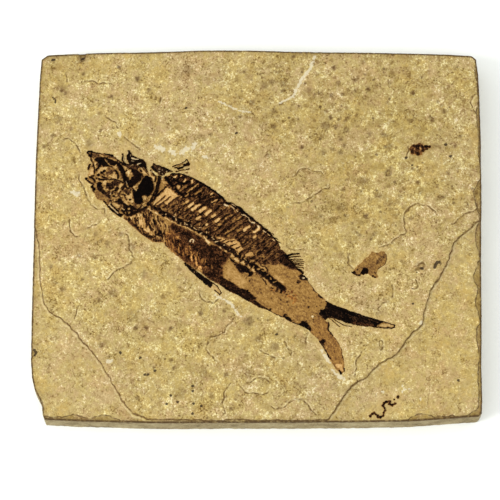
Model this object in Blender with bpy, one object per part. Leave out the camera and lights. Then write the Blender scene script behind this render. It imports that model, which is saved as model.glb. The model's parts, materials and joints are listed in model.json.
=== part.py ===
"""A fossil herring on a broken limestone slab, in metres, +Z up.

The slab lies on its flat underside. The origin is at the middle of the slab, on the surface that it lies on, with
X along its long side and Y from its front edge to its back edge. The front corners have split off down to a lower
bed. The fish's skeleton is pressed flat. Each bone plate is bedded in a shallow pocket of the stone, with a gap all
round, and stands a little proud of it.

Lengths are written in millimetres and turned into metres where the shapes are made. The fish has its own flat
frame: s runs from the snout to the tail and t from the belly to the back.
"""

import math

import bmesh
import bpy
from mathutils import Matrix, Vector, noise

MM = 0.001

# The slab
BED_HEIGHT = 9.0  # from the underside to the bed that the fish lies on
LEDGE_DROP = 0.9  # from that bed down to the one under it, at the two front corners
OUTLINE_STEP = 3.6  # between the points along the slab's outline
WALL_WOBBLE = 0.12  # how far the sides wander in and out
FOOT_WEAR = 0.3  # how far the underside's edge is worn back

# How the plates are bedded
GAP = 0.3  # clearance between neighbouring pieces
PLATE_DEPTH = 0.5  # from the bed down to a plate's underside
FILM_TOP = 0.15  # how far the skin stands above the bed
SPINE_TOP = 0.4  # how far spines, ribs and rays do
BONE_TOP = 0.55  # how far skull bones and vertebrae do
SPINE_ROOT = 0.3  # how far a ridge reaches down into its plate

# The fish's frame on the slab
FISH_ORIGIN = (-44.03, 15.51)
FISH_TURN = math.radians(-33.0)

# The backbone: vertebrae at an even pitch on a gentle arch
FIRST_VERTEBRA = 19.0
LAST_VERTEBRA = 60.0
VERTEBRA_PITCH = 1.37
VERTEBRA_RADIUS = 0.62
BACKBONE_START_T = 2.0
BACKBONE_ARCH = 1.0
BACKBONE_END_T = 1.6

SPINE_WIDTH = 0.42
SPINE_LEAN = math.radians(70.0)  # from the backbone's line, towards the tail
LAST_SPINE = 52.0
RIB_WIDTH = 0.4
RIB_LEAN = math.radians(-52.0)
FIRST_RIB = 17.6
LAST_RIB = 41.0
RIB_PITCH = 1.55

# Outlines of the slab, from above, anticlockwise from its front left corner
SLAB_OUTLINE = [
    (-54.6, -49.6), (-47.0, -50.0), (-40.7, -50.2), (-34.0, -50.4), (-27.8, -50.6), (11.0, -50.5), (24.0, -50.4),
    (36.8, -50.2), (43.3, -49.8), (49.8, -49.3), (56.2, -48.8), (57.4, -47.6), (57.7, -44.7), (57.8, -34.0),
    (58.1, -21.0), (58.2, -11.0), (58.5, 2.0), (58.7, 12.0), (58.8, 25.0), (58.7, 36.0), (58.5, 43.0),
    (58.0, 47.2), (56.8, 48.3), (51.0, 48.7), (38.0, 49.1), (25.0, 49.3), (11.0, 49.5), (-2.0, 49.9),
    (-15.0, 49.9), (-28.0, 49.4), (-42.0, 49.2), (-55.6, 48.5), (-57.2, 47.2), (-57.6, 41.0), (-57.9, 30.0),
    (-58.2, 19.5), (-58.3, 3.0), (-58.5, -18.0), (-58.5, -34.0), (-58.1, -38.8), (-57.3, -42.0), (-56.1, -44.2),
    (-55.4, -46.0), (-55.2, -48.4),
]
# The edge of the fish's bed, past which it has split off: from the left side round the front corners to the right
SPLIT_EDGE = [
    (-57.7, 2.0), (-56.4, -4.9), (-56.2, -10.9), (-55.4, -18.0), (-54.9, -20.0), (-52.5, -21.8), (-49.5, -24.0),
    (-46.5, -27.2), (-44.0, -30.0), (-41.5, -33.0), (-39.4, -36.2), (-37.3, -39.8), (-35.2, -43.6),
    (-32.5, -47.2), (-30.0, -48.6), (-26.0, -49.6), (-8.0, -49.7), (14.0, -49.8), (18.0, -49.6), (19.7, -47.0),
    (22.3, -43.2), (24.3, -40.6), (27.7, -38.6), (30.0, -36.2), (33.0, -34.0), (35.5, -32.6), (38.0, -29.0),
    (40.6, -26.3), (42.4, -24.6), (43.3, -20.0), (44.7, -15.5), (47.8, -10.7), (49.8, -6.0), (51.0, -2.7),
    (54.0, -0.1), (57.0, 3.0), (58.4, 3.6),
]
BEYOND_FRONT = [(75.0, 4.0), (75.0, -65.0), (-75.0, -65.0), (-75.0, 2.0)]
CUT_ABOVE = 2.0  # how far a cutter stands above the bed

# Thin flakes off the slab's upper edge: place on the edge, length along it, reach into the bed
FLAKE_DROP = 1.3  # down from the fish's bed
FLAKE_SIDES = 14
FRONT_FLAKES = [
    (-49.0, -50.0, 12.0, 1.4), (-39.5, -50.2, 8.0, 1.6), (42.0, -49.9, 7.0, 1.7), (50.0, -49.3, 3.0, 1.0),
]
BACK_FLAKES = [(-53.4, 48.7, 2.8, 0.9), (-42.6, 49.2, 4.0, 0.9)]
LEFT_FLAKES = [(-58.5, -32.2, 2.8, 1.3)]
RIGHT_FLAKES = [
    (58.7, 9.6, 8.0, 2.4), (58.4, -1.4, 9.0, 1.9), (58.2, -11.6, 8.0, 2.3), (58.1, -19.0, 6.0, 1.9),
    (58.0, -28.0, 9.0, 1.6), (57.8, -39.0, 12.0, 1.3), (57.2, -48.0, 4.6, 2.0),
]

# Outlines of the fish's plates, in its own frame
SKULL_OUTLINE = [
    (-3.2, 4.8), (-2.2, 5.6), (-0.8, 6.5), (2.3, 7.6), (4.1, 7.9), (4.3, 8.8), (4.2, 10.8), (5.3, 11.3),
    (6.6, 10.9), (8.8, 11.0), (10.2, 11.1), (11.3, 10.4), (12.6, 9.1), (12.0, 8.0), (11.9, 6.4), (12.2, 4.9),
    (12.4, 3.4), (12.2, 2.0), (12.6, 1.0), (13.7, -0.1), (14.7, -0.6), (14.6, -1.7), (14.1, -3.0),
    (13.9, -4.4), (13.1, -5.3), (10.0, -5.0), (7.4, -4.4), (5.2, -4.2), (3.0, -3.1), (1.4, -2.1), (0.0, -1.8),
    (-0.4, -0.6), (-1.0, 0.9), (-1.8, 2.2), (-2.1, 4.0),
]
GILL_COVER_OUTLINE = [
    (12.6, 7.7), (13.2, 8.0), (14.0, 7.9), (15.0, 7.3), (16.0, 6.5), (16.6, 5.5), (16.6, 4.2), (16.2, 3.2),
    (15.6, 2.3), (16.1, 1.3), (15.6, 0.3), (14.8, -0.2), (14.0, 0.3), (13.1, 1.2), (12.7, 2.2), (12.8, 3.4),
    (12.7, 4.6), (12.4, 5.6), (12.3, 6.6),
]
TRUNK_OUTLINE = [
    (13.2, 9.7), (13.6, 8.6), (15.2, 7.8), (16.4, 6.8), (17.0, 5.6), (17.0, 4.0), (16.3, 2.5), (16.5, 1.2),
    (16.0, 0.0), (15.1, -0.8), (15.0, -2.0), (14.4, -3.4), (14.2, -4.8), (17.0, -5.3), (20.0, -5.9),
    (24.0, -6.0), (26.6, -5.2), (29.0, -5.6), (33.0, -6.0), (39.0, -5.8), (44.0, -6.2), (47.5, -6.5),
    (52.0, -6.0), (57.5, -5.5), (63.0, -4.9), (68.0, -4.2), (70.6, -3.9), (70.2, -1.4), (69.6, 0.6), (69.9, 2.6),
    (69.9, 5.0), (66.3, 5.9), (61.0, 7.7), (55.0, 9.5), (52.8, 10.4), (50.0, 12.0), (45.0, 13.1), (38.0, 14.0),
    (30.0, 14.4), (23.0, 14.1), (20.0, 13.3), (18.0, 11.9), (17.0, 10.2), (15.6, 9.8),
]
DORSAL_FIN_OUTLINE = [
    (55.1, 9.8), (56.0, 10.9), (57.5, 12.1), (58.5, 11.7), (59.5, 11.1), (60.2, 10.4), (60.7, 9.5), (61.4, 8.4),
    (61.2, 8.0), (58.0, 9.0),
]
UPPER_LOBE_OUTLINE = [
    (70.2, 5.0), (71.5, 4.9), (73.5, 5.2), (78.0, 6.3), (82.0, 7.3), (86.0, 8.5), (88.8, 9.4), (89.1, 8.9),
    (88.6, 8.2), (87.2, 7.4), (85.0, 6.3), (82.0, 4.9), (80.0, 4.0), (78.0, 3.0), (76.0, 2.4), (74.0, 2.0),
    (72.8, 0.9), (70.4, 1.0), (70.2, 2.8),
]
LOWER_LOBE_OUTLINE = [
    (70.0, 0.5), (72.0, 0.5), (74.0, 0.4), (75.0, -1.2), (76.5, -1.6), (78.0, -2.0), (79.5, -2.7), (81.0, -4.0),
    (82.5, -5.6), (83.5, -6.8), (84.3, -8.0), (84.4, -9.0), (83.9, -9.6), (83.0, -9.1), (80.5, -8.2),
    (77.5, -6.2), (74.7, -4.8), (73.0, -4.3), (71.0, -3.9), (70.6, -1.4),
]
PELVIC_FIN_OUTLINE = [
    (34.0, -6.5), (37.0, -6.9), (43.0, -7.2), (46.6, -7.9), (46.4, -8.7), (43.2, -8.3), (40.0, -8.0),
    (37.0, -7.5), (34.2, -7.1),
]
NAPE_PLATE_OUTLINE = [
    (12.7, 11.6), (14.0, 12.1), (16.0, 12.5), (17.5, 12.7), (17.1, 11.6), (16.4, 10.7), (15.6, 10.2),
    (14.0, 10.1), (13.0, 10.1), (12.5, 10.7),
]
LOOSE_BONE_OUTLINE = [
    (17.0, 13.6), (17.7, 14.7), (18.5, 15.8), (19.1, 17.3), (19.8, 17.1), (20.6, 16.8), (20.8, 15.9),
    (21.1, 15.3), (21.3, 14.4), (20.4, 14.2), (19.4, 13.5), (18.5, 13.0), (17.9, 13.8),
]

# Ridges on the plates: each a line of points, its width and how far it stands above the bed
SKULL_RIDGES = [
    ([(-3.0, 4.8), (-0.8, 6.1), (2.3, 7.2), (4.6, 7.5), (7.4, 8.2)], 0.6, 0.55),
    ([(-1.8, 4.3), (-0.2, 2.8), (1.0, 1.8)], 0.5, 0.45),
    ([(0.2, 4.9), (2.4, 5.7), (4.4, 6.0)], 1.2, 0.5),
    ([(4.8, 6.0), (6.5, 5.7), (8.0, 4.6), (8.6, 3.2), (7.4, 2.4), (5.4, 1.8), (3.2, 0.4)], 0.5, 0.45),
    ([(3.4, -0.4), (3.8, -1.6), (5.6, -2.1), (7.6, -2.2)], 0.6, 0.5),
    ([(9.4, 7.6), (10.6, 6.0), (11.2, 4.2), (10.4, 3.0)], 1.4, 0.6),
    ([(4.9, 10.6), (7.4, 10.2), (9.8, 10.3), (11.6, 9.4)], 1.0, 0.65),
    ([(5.0, 9.2), (6.6, 8.6), (8.4, 9.0), (10.4, 9.2)], 0.6, 0.5),
    ([(7.4, -4.0), (10.0, -4.6), (12.9, -4.8)], 0.7, 0.55),
    ([(9.2, -2.2), (11.4, -1.4), (13.4, -1.6)], 1.0, 0.5),
    ([(4.2, -2.6), (5.2, -3.8), (7.6, -3.3)], 0.5, 0.4),
]
GILL_COVER_RIDGES = [
    ([(13.3, 7.2), (15.0, 6.4), (15.9, 4.9), (15.4, 3.2)], 0.5, 0.75),
    ([(13.6, 1.6), (14.9, 0.8)], 0.7, 0.7),
]
SHOULDER_RIDGES = [
    ([(15.9, 8.9), (16.9, 7.5), (17.5, 5.6), (17.6, 3.8), (17.2, 1.4)], 0.8, 0.6),
    ([(17.4, 0.2), (16.4, -1.1), (15.7, -2.6)], 0.6, 0.5),
    ([(17.4, 10.1), (20.0, 9.2), (23.0, 8.3)], 0.7, 0.5),
]
BACK_KEEL = ([(34.0, 13.3), (38.0, 13.3), (42.0, 12.9), (46.0, 12.3), (50.0, 11.4)], 0.5, 0.45)
PELVIC_RIDGES = [
    ([(34.3, -6.8), (37.0, -7.1), (43.0, -7.4)], 0.25, 0.4),
    ([(37.0, -7.3), (40.0, -7.7), (46.0, -8.3)], 0.25, 0.42),
]
NAPE_RIDGES = [([(13.2, 10.7), (15.4, 11.2), (16.9, 12.0)], 0.5, 0.55)]
LOOSE_BONE_RIDGES = [
    ([(17.4, 13.8), (18.4, 15.2), (19.1, 16.6)], 0.4, 0.5),
    ([(18.6, 13.6), (19.6, 15.0), (20.3, 16.4)], 0.6, 0.6),
]
FIN_RAY_ROOTS = [(55.5, 9.75), (56.3, 9.5), (57.1, 9.25), (57.9, 9.0), (58.7, 8.8), (59.6, 8.5)]
FIN_RAY_TIPS = [(57.4, 11.7), (58.3, 11.3), (59.2, 10.8), (59.8, 10.3), (60.2, 9.6), (60.6, 8.9)]
RAY_WIDTH = 0.28
UPPER_LOBE_ROOT = [(70.8, 1.8), (70.8, 4.4)]  # first and last ray
UPPER_LOBE_TIP = [(81.5, 5.2), (87.8, 8.9)]
LOWER_LOBE_ROOT = [(71.2, -3.4), (71.4, -0.1)]
LOWER_LOBE_TIP = [(82.6, -8.4), (83.6, -7.6)]
LOBE_RAYS = 6

# Small things that lie near the fish, in the slab's frame
BROWN_FRAGMENT_OUTLINE = [
    (24.6, -10.7), (25.4, -9.5), (27.5, -7.7), (28.8, -6.5), (29.5, -5.5), (31.3, -5.6), (32.6, -5.2),
    (33.4, -5.9), (33.6, -7.2), (33.0, -8.8), (31.2, -10.1), (30.9, -11.0), (31.3, -12.0), (30.8, -12.5),
    (29.9, -12.2), (28.6, -11.3), (26.8, -11.6), (25.3, -11.5),
]
COPROLITE_LUMPS = [  # centre, half width, half depth
    (41.2, 22.3, 1.25, 1.3), (42.3, 22.9, 1.2, 1.15), (43.3, 22.7, 0.9, 0.7), (44.5, 23.1, 0.95, 0.7),
    (42.0, 21.4, 1.0, 0.8),
]
COPROLITE_STRING = [
    (29.0, -48.5), (29.5, -47.9), (30.2, -48.3), (31.0, -48.8), (32.0, -48.6), (32.5, -47.9), (32.4, -46.9),
    (32.2, -46.0), (32.8, -45.2), (33.6, -45.1), (34.5, -45.4), (35.0, -44.6), (36.0, -43.8),
]
STRING_RADIUS = 0.4
STRING_RISE = 0.12  # of its middle above the lower bed


def clear_scene():
    for thing in list(bpy.data.objects):
        bpy.data.objects.remove(thing)


def new_collection(name):
    collection = bpy.data.collections.new(name)
    bpy.context.scene.collection.children.link(collection)
    return collection


def material(name, colour, roughness):
    made = bpy.data.materials.new(name)
    made.use_nodes = True
    shader = made.node_tree.nodes["Principled BSDF"]
    shader.inputs["Base Color"].default_value = (*colour, 1.0)
    shader.inputs["Roughness"].default_value = roughness
    shader.inputs["Metallic"].default_value = 0.0
    return made


def add_object(name, mesh, collection, parent=None, surface=None):
    piece = bpy.data.objects.new(name, mesh)
    collection.objects.link(piece)
    piece.parent = parent
    if surface:
        mesh.materials.append(surface)
    return piece


def as_cutter(piece):
    piece.hide_render = True
    piece.display_type = "WIRE"
    return piece


def boolean(piece, other, operation):
    """Joins one mesh, or a whole collection of them, to the piece or cuts it from it."""
    change = piece.modifiers.new(f"{operation.lower()}_{other.name}", "BOOLEAN")
    change.operation = operation
    change.solver = "EXACT"
    if isinstance(other, bpy.types.Collection):
        change.operand_type = "COLLECTION"
        change.collection = other
    else:
        change.object = other


def mesh_of_curve(curve_object):
    """The curve's closed mesh, with its caps welded on."""
    bpy.context.view_layer.update()
    graph = bpy.context.evaluated_depsgraph_get()
    mesh = bpy.data.meshes.new_from_object(curve_object.evaluated_get(graph))
    shape = bmesh.new()
    shape.from_mesh(mesh)
    bmesh.ops.remove_doubles(shape, verts=shape.verts, dist=1e-6)
    shape.to_mesh(mesh)
    shape.free()
    bpy.data.objects.remove(curve_object)
    return mesh


def plate_mesh(name, outline, bottom, top):
    """A flat plate with this outline, between two heights in millimetres."""
    curve = bpy.data.curves.new(name, "CURVE")
    curve.dimensions = "2D"
    curve.fill_mode = "BOTH"
    curve.extrude = (top - bottom) / 2 * MM
    spline = curve.splines.new("POLY")
    spline.points.add(len(outline) - 1)
    for point, (x, y) in zip(spline.points, outline):
        point.co = (x * MM, y * MM, 0.0, 1.0)
    spline.use_cyclic_u = True
    flat = bpy.data.objects.new(name, curve)
    bpy.context.scene.collection.objects.link(flat)
    mesh = mesh_of_curve(flat)
    mesh.transform(Matrix.Translation((0.0, 0.0, (top + bottom) / 2 * MM)))
    return mesh


def widened(outline, margin):
    """The outline moved out by a margin on every side. It runs the same way round as it was given."""
    count = len(outline)
    turn = sum(
        outline[i - 1][0] * outline[i][1] - outline[i][0] * outline[i - 1][1] for i in range(count)
    )
    side = 1.0 if turn > 0 else -1.0
    moved = []
    for i, here in enumerate(outline):
        before = (Vector(here) - Vector(outline[i - 1])).normalized()
        after = (Vector(outline[(i + 1) % count]) - Vector(here)).normalized()
        along = (before + after).normalized()
        outward = Vector((along.y, -along.x)) * side
        stretch = min(1.0 / max(along.dot(before), 0.3), 1.6)
        moved.append(tuple(Vector(here) + outward * margin * stretch))
    return moved


def ridge_bars(collection, parent, name, points, width, top):
    """A ridge along a line of points: one slim bar for each stretch, overlapping at the joints."""
    overlap = width * 0.4
    for i, (start, end) in enumerate(zip(points, points[1:])):
        along = Vector(end) - Vector(start)
        middle = (Vector(end) + Vector(start)) / 2
        high = top - 0.013 * i
        low = -SPINE_ROOT - 0.011 * i
        shape = bmesh.new()
        bmesh.ops.create_cube(shape, size=1.0)
        size = Matrix.Diagonal((along.length + overlap, width, high - low, 1.0))
        turn = Matrix.Rotation(math.atan2(along.y, along.x), 4, "Z")
        place = Matrix.Translation((middle.x, middle.y, (high + low) / 2))
        shape.transform(Matrix.Scale(MM, 4) @ place @ turn @ size)
        mesh = bpy.data.meshes.new(f"{name}_{i}")
        shape.to_mesh(mesh)
        shape.free()
        as_cutter(add_object(f"{name}_{i}", mesh, collection, parent))


def bedded_plate(name, outline, top, surface, place, ridges=()):
    """A bone or skin plate in the stone, with its ridges fused on, and the pocket that it lies in."""
    mesh = plate_mesh(name, outline, -PLATE_DEPTH, top)
    piece = add_object(name, mesh, place["parts"], place["axis"], surface)
    pocket_mesh = plate_mesh(f"{name}_pocket", widened(outline, GAP), -PLATE_DEPTH - GAP, 2.0)
    as_cutter(add_object(f"{name}_pocket", pocket_mesh, place["pockets"], place["axis"]))
    if ridges:
        fused = new_collection(f"{name}_ridges")
        for number, (points, width, height) in enumerate(ridges):
            ridge_bars(fused, place["axis"], f"{name}_ridge_{number}", points, width, height)
        boolean(piece, fused, "UNION")
    return piece


def backbone_height(s):
    """Where the backbone runs, at a distance s from the snout."""
    share = (s - FIRST_VERTEBRA) / (LAST_VERTEBRA - FIRST_VERTEBRA)
    straight = BACKBONE_START_T + (BACKBONE_END_T - BACKBONE_START_T) * share
    return straight + BACKBONE_ARCH * math.sin(math.pi * min(max(share, 0.0), 1.0))


def edge_along(outline, start, lean):
    """Where a line from start, leaning at this angle, leaves the outline."""
    step = Vector((math.cos(lean), math.sin(lean)))
    reach = 60.0
    for (ax, ay), (bx, by) in zip(outline, outline[1:] + outline[:1]):
        side = Vector((bx - ax, by - ay))
        cross = step.x * side.y - step.y * side.x
        if abs(cross) < 1e-9:
            continue
        gap = Vector((ax, ay)) - Vector(start)
        far = (gap.x * side.y - gap.y * side.x) / cross
        share = (gap.x * step.y - gap.y * step.x) / cross
        if 0.0 <= share <= 1.0 and 0.0 < far < reach:
            reach = far
    return Vector(start) + step * (reach - 0.25)


def trunk_ridges():
    """The spines above the backbone and the ribs below it, each a slim ridge out to the edge of the body."""
    ridges = list(SHOULDER_RIDGES) + [BACK_KEEL]
    count = int((LAST_SPINE - FIRST_VERTEBRA) / VERTEBRA_PITCH)
    for i in range(count):
        s = FIRST_VERTEBRA + VERTEBRA_PITCH * i
        root = (s, backbone_height(s))
        tip = edge_along(TRUNK_OUTLINE, root, SPINE_LEAN)
        ridges.append(([root, tip], SPINE_WIDTH, SPINE_TOP - 0.004 * (i % 5)))
    for i in range(int((LAST_RIB - FIRST_RIB) / RIB_PITCH)):
        s = FIRST_RIB + RIB_PITCH * i
        root = (s, backbone_height(s) - 1.4)
        tip = edge_along(TRUNK_OUTLINE, root, RIB_LEAN)
        ridges.append(([root, tip], RIB_WIDTH, SPINE_TOP - 0.1 - 0.005 * (i % 4)))
    return ridges


def add_vertebrae(trunk, place):
    fused = new_collection("vertebrae")
    count = int((LAST_VERTEBRA - FIRST_VERTEBRA) / VERTEBRA_PITCH) + 1
    for i in range(count):
        s = FIRST_VERTEBRA + VERTEBRA_PITCH * i
        shape = bmesh.new()
        bmesh.ops.create_icosphere(shape, subdivisions=1, radius=1.0)
        size = Matrix.Diagonal((VERTEBRA_RADIUS * 0.9, VERTEBRA_RADIUS, BONE_TOP + 0.01 * (i % 3), 1.0))
        turn = Matrix.Rotation(math.radians(17.0 * i), 4, "Z")
        move = Matrix.Translation((s, backbone_height(s), 0.0))
        shape.transform(Matrix.Scale(MM, 4) @ move @ size @ turn)
        mesh = bpy.data.meshes.new(f"vertebra_{i}")
        shape.to_mesh(mesh)
        shape.free()
        as_cutter(add_object(f"vertebra_{i}", mesh, fused, place["axis"]))
    boolean(trunk, fused, "UNION")


def fan(root, tip, count, width, top):
    """Rays that spread between a first and a last one."""
    rays = []
    for i in range(count):
        share = i / (count - 1)
        start = Vector(root[0]).lerp(Vector(root[1]), share)
        end = Vector(tip[0]).lerp(Vector(tip[1]), share)
        rays.append(([tuple(start), tuple(end)], width, top - 0.01 * i))
    return rays


def make_fish(place, surfaces):
    bone, brown, skin = surfaces["bone_black"], surfaces["bone_brown"], surfaces["skin_film"]
    bedded_plate("skull", SKULL_OUTLINE, 0.25, bone, place, SKULL_RIDGES)
    bedded_plate("gill_cover", GILL_COVER_OUTLINE, BONE_TOP, bone, place, GILL_COVER_RIDGES)
    trunk = bedded_plate("trunk", TRUNK_OUTLINE, FILM_TOP, brown, place, trunk_ridges())
    add_vertebrae(trunk, place)
    dorsal_rays = [
        ([root, tip], RAY_WIDTH, SPINE_TOP - 0.01 * i)
        for i, (root, tip) in enumerate(zip(FIN_RAY_ROOTS, FIN_RAY_TIPS))
    ]
    bedded_plate("dorsal_fin", DORSAL_FIN_OUTLINE, FILM_TOP, bone, place, dorsal_rays)
    bedded_plate("pelvic_fin", PELVIC_FIN_OUTLINE, FILM_TOP, bone, place, PELVIC_RIDGES)
    upper_rays = fan(UPPER_LOBE_ROOT, UPPER_LOBE_TIP, LOBE_RAYS, RAY_WIDTH, 0.45)
    bedded_plate("upper_tail_lobe", UPPER_LOBE_OUTLINE, 0.3, bone, place, upper_rays)
    lower_rays = fan(LOWER_LOBE_ROOT, LOWER_LOBE_TIP, LOBE_RAYS, RAY_WIDTH, 0.3)
    bedded_plate("lower_tail_lobe", LOWER_LOBE_OUTLINE, FILM_TOP, skin, place, lower_rays)
    bedded_plate("nape_plate", NAPE_PLATE_OUTLINE, 0.35, bone, place, NAPE_RIDGES)
    bedded_plate("loose_bone", LOOSE_BONE_OUTLINE, 0.25, bone, place, LOOSE_BONE_RIDGES)


def lump_mesh(name, x, y, half_width, half_depth, height):
    shape = bmesh.new()
    bmesh.ops.create_icosphere(shape, subdivisions=2, radius=1.0)
    size = Matrix.Diagonal((half_width, half_depth, height, 1.0))
    shape.transform(Matrix.Scale(MM, 4) @ Matrix.Translation((x, y, 0.0)) @ size)
    mesh = bpy.data.meshes.new(name)
    shape.to_mesh(mesh)
    shape.free()
    return mesh


def make_coprolite_lump(place, surfaces):
    """A few rounded lumps grown into one, half sunk in the bed."""
    first, rest = COPROLITE_LUMPS[0], COPROLITE_LUMPS[1:]
    mesh = lump_mesh("coprolite_lump", *first, 0.6)
    piece = add_object("coprolite_lump", mesh, place["parts"], place["axis"], surfaces["coprolite"])
    fused = new_collection("coprolite_lumps")
    for i, (x, y, half_width, half_depth) in enumerate(rest):
        lump = lump_mesh(f"lump_{i}", x, y, half_width, half_depth, 0.55 - 0.03 * i)
        as_cutter(add_object(f"lump_{i}", lump, fused, place["axis"]))
    boolean(piece, fused, "UNION")
    for i, (x, y, half_width, half_depth) in enumerate(COPROLITE_LUMPS):
        hollow = lump_mesh(f"lump_pocket_{i}", x, y, half_width + 1.2 * GAP, half_depth + 1.2 * GAP, 1.0)
        as_cutter(add_object(f"lump_pocket_{i}", hollow, place["pockets"], place["axis"]))


def tube_mesh(name, points, radius, height):
    curve = bpy.data.curves.new(name, "CURVE")
    curve.dimensions = "3D"
    curve.bevel_depth = radius * MM
    curve.bevel_resolution = 2
    curve.use_fill_caps = True
    spline = curve.splines.new("POLY")
    spline.points.add(len(points) - 1)
    for point, (x, y) in zip(spline.points, points):
        point.co = (x * MM, y * MM, height * MM, 1.0)
    line = bpy.data.objects.new(name, curve)
    bpy.context.scene.collection.objects.link(line)
    return mesh_of_curve(line)


def make_coprolite_string(place, surfaces):
    """A thin winding string, half sunk in the lower bed at the front right."""
    height = -LEDGE_DROP + STRING_RISE
    mesh = tube_mesh("coprolite_string", COPROLITE_STRING, STRING_RADIUS, height)
    add_object("coprolite_string", mesh, place["parts"], place["axis"], surfaces["coprolite"])
    start, end = Vector(COPROLITE_STRING[0]), Vector(COPROLITE_STRING[-1])
    before = start + (start - Vector(COPROLITE_STRING[1])).normalized() * GAP
    after = end + (end - Vector(COPROLITE_STRING[-2])).normalized() * GAP
    route = [tuple(before)] + COPROLITE_STRING[1:-1] + [tuple(after)]
    groove = tube_mesh("string_groove", route, STRING_RADIUS + GAP, height)
    as_cutter(add_object("string_groove", groove, place["pockets"], place["axis"]))


def along_outline(outline, step):
    """Points spaced evenly along each side of an outline, with its corners kept."""
    points = []
    for start, end in zip(outline, outline[1:] + outline[:1]):
        start, end = Vector(start), Vector(end)
        count = max(1, round((end - start).length / step))
        points += [start.lerp(end, i / count) for i in range(count)]
    return points


def slab_rings():
    """The slab's outline at several heights: (height, how far it is worn back there)."""
    return [
        (0.0, FOOT_WEAR), (0.6, 0.05), (2.6, 0.0), (5.0, 0.1), (7.0, 0.0), (BED_HEIGHT - LEDGE_DROP, 0.05),
        (BED_HEIGHT, 0.15),
    ]


def make_slab(place, surfaces):
    """The slab: rings of its outline one above another, wandering a little as a dressed side does."""
    outline = along_outline(SLAB_OUTLINE, OUTLINE_STEP)
    count = len(outline)
    shape = bmesh.new()
    rings = []
    for height, wear in slab_rings():
        ring = []
        for i, here in enumerate(outline):
            along = (outline[(i + 1) % count] - outline[i - 1]).normalized()
            outward = Vector((along.y, -along.x))
            wobble = noise.noise(Vector((here.x * 0.13, here.y * 0.13, height * 0.45))) * WALL_WOBBLE
            spot = here - outward * (wear + WALL_WOBBLE + wobble)
            ring.append(shape.verts.new((spot.x * MM, spot.y * MM, height * MM)))
        rings.append(ring)
    for low, high in zip(rings, rings[1:]):
        for i in range(count):
            j = (i + 1) % count
            shape.faces.new((low[i], low[j], high[j], high[i]))
    shape.faces.new(list(reversed(rings[0])))
    shape.faces.new(rings[-1])
    bmesh.ops.triangulate(shape, faces=shape.faces[:])
    mesh = bpy.data.meshes.new("limestone_slab")
    shape.to_mesh(mesh)
    shape.free()
    return add_object("limestone_slab", mesh, place["parts"], None, surfaces["limestone"])


def split_cutter(collection):
    """What has split off the front corners and the front edge, down to the lower bed."""
    name = "split_bed"
    mesh = plate_mesh(name, SPLIT_EDGE + BEYOND_FRONT, BED_HEIGHT - LEDGE_DROP, BED_HEIGHT + CUT_ABOVE)
    return as_cutter(add_object(name, mesh, collection))


def flake_cutter(name, x, y, half, collection):
    """A thin shell-shaped flake off the upper edge, half of it beside the slab."""
    shape = bmesh.new()
    bmesh.ops.create_cone(shape, cap_ends=True, segments=FLAKE_SIDES, radius1=1.0, radius2=1.0, depth=1.0)
    size = Matrix.Diagonal((*half, FLAKE_DROP + CUT_ABOVE, 1.0))
    middle = Matrix.Translation((x, y, BED_HEIGHT + (CUT_ABOVE - FLAKE_DROP) / 2))
    shape.transform(Matrix.Scale(MM, 4) @ middle @ size)
    mesh = bpy.data.meshes.new(name)
    shape.to_mesh(mesh)
    shape.free()
    as_cutter(add_object(name, mesh, collection))


def make_flakes(collection):
    for side, flakes in (("front", FRONT_FLAKES), ("back", BACK_FLAKES)):
        for i, (x, y, length, reach) in enumerate(flakes):
            flake_cutter(f"{side}_flake_{i}", x, y, (length / 2, reach), collection)
    for side, flakes in (("left", LEFT_FLAKES), ("right", RIGHT_FLAKES)):
        for i, (x, y, length, reach) in enumerate(flakes):
            flake_cutter(f"{side}_flake_{i}", x, y, (reach, length / 2), collection)


def make_surfaces():
    return {
        "limestone": material("limestone", (0.56, 0.45, 0.22), 0.85),
        "bone_black": material("bone_black", (0.010, 0.007, 0.005), 0.45),
        "bone_brown": material("bone_brown", (0.085, 0.036, 0.014), 0.5),
        "skin_film": material("skin_film", (0.33, 0.19, 0.075), 0.6),
        "coprolite": material("coprolite", (0.045, 0.02, 0.01), 0.55),
    }


def make_axis(name, x, y, turn, collection):
    """An empty on the bed that pieces are laid out from."""
    axis = bpy.data.objects.new(name, None)
    collection.objects.link(axis)
    axis.location = (x * MM, y * MM, BED_HEIGHT * MM)
    axis.rotation_euler = (0.0, 0.0, turn)
    return axis


def main():
    clear_scene()
    parts = new_collection("fossil_fish_slab")
    cutters = new_collection("slab_cutters")
    pockets = new_collection("pockets")
    surfaces = make_surfaces()
    slab = make_slab({"parts": parts}, surfaces)

    fish_axis = make_axis("fish_axis", *FISH_ORIGIN, FISH_TURN, parts)
    bed_axis = make_axis("bed_axis", 0.0, 0.0, 0.0, parts)
    make_fish({"parts": parts, "pockets": pockets, "axis": fish_axis}, surfaces)
    on_bed = {"parts": parts, "pockets": pockets, "axis": bed_axis}
    bedded_plate("brown_fragment", BROWN_FRAGMENT_OUTLINE, 0.12, surfaces["skin_film"], on_bed)
    make_coprolite_lump(on_bed, surfaces)
    make_coprolite_string(on_bed, surfaces)

    split_cutter(cutters)
    make_flakes(cutters)
    boolean(slab, cutters, "DIFFERENCE")
    boolean(slab, pockets, "DIFFERENCE")


main()
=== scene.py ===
"""Looks of the fossil fish slab: buff limestone with broken corners and a small herring pressed flat on it.

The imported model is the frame. The stone's skin is one fine mesh round the slab. The bones are modelled in
relief on a canvas, a fine flat grid in the fish's own frame: shapes painted on it say how dark and how thick
the bone is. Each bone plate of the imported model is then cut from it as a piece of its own.

Lengths are in millimetres and are turned into metres when a mesh is made. In the fish's frame, s runs from
the snout to the tail and t from the belly to the back. Tones run from 0, bare stone in a gap between bones,
to 1, thick black bone.
"""

import json
import math

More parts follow.
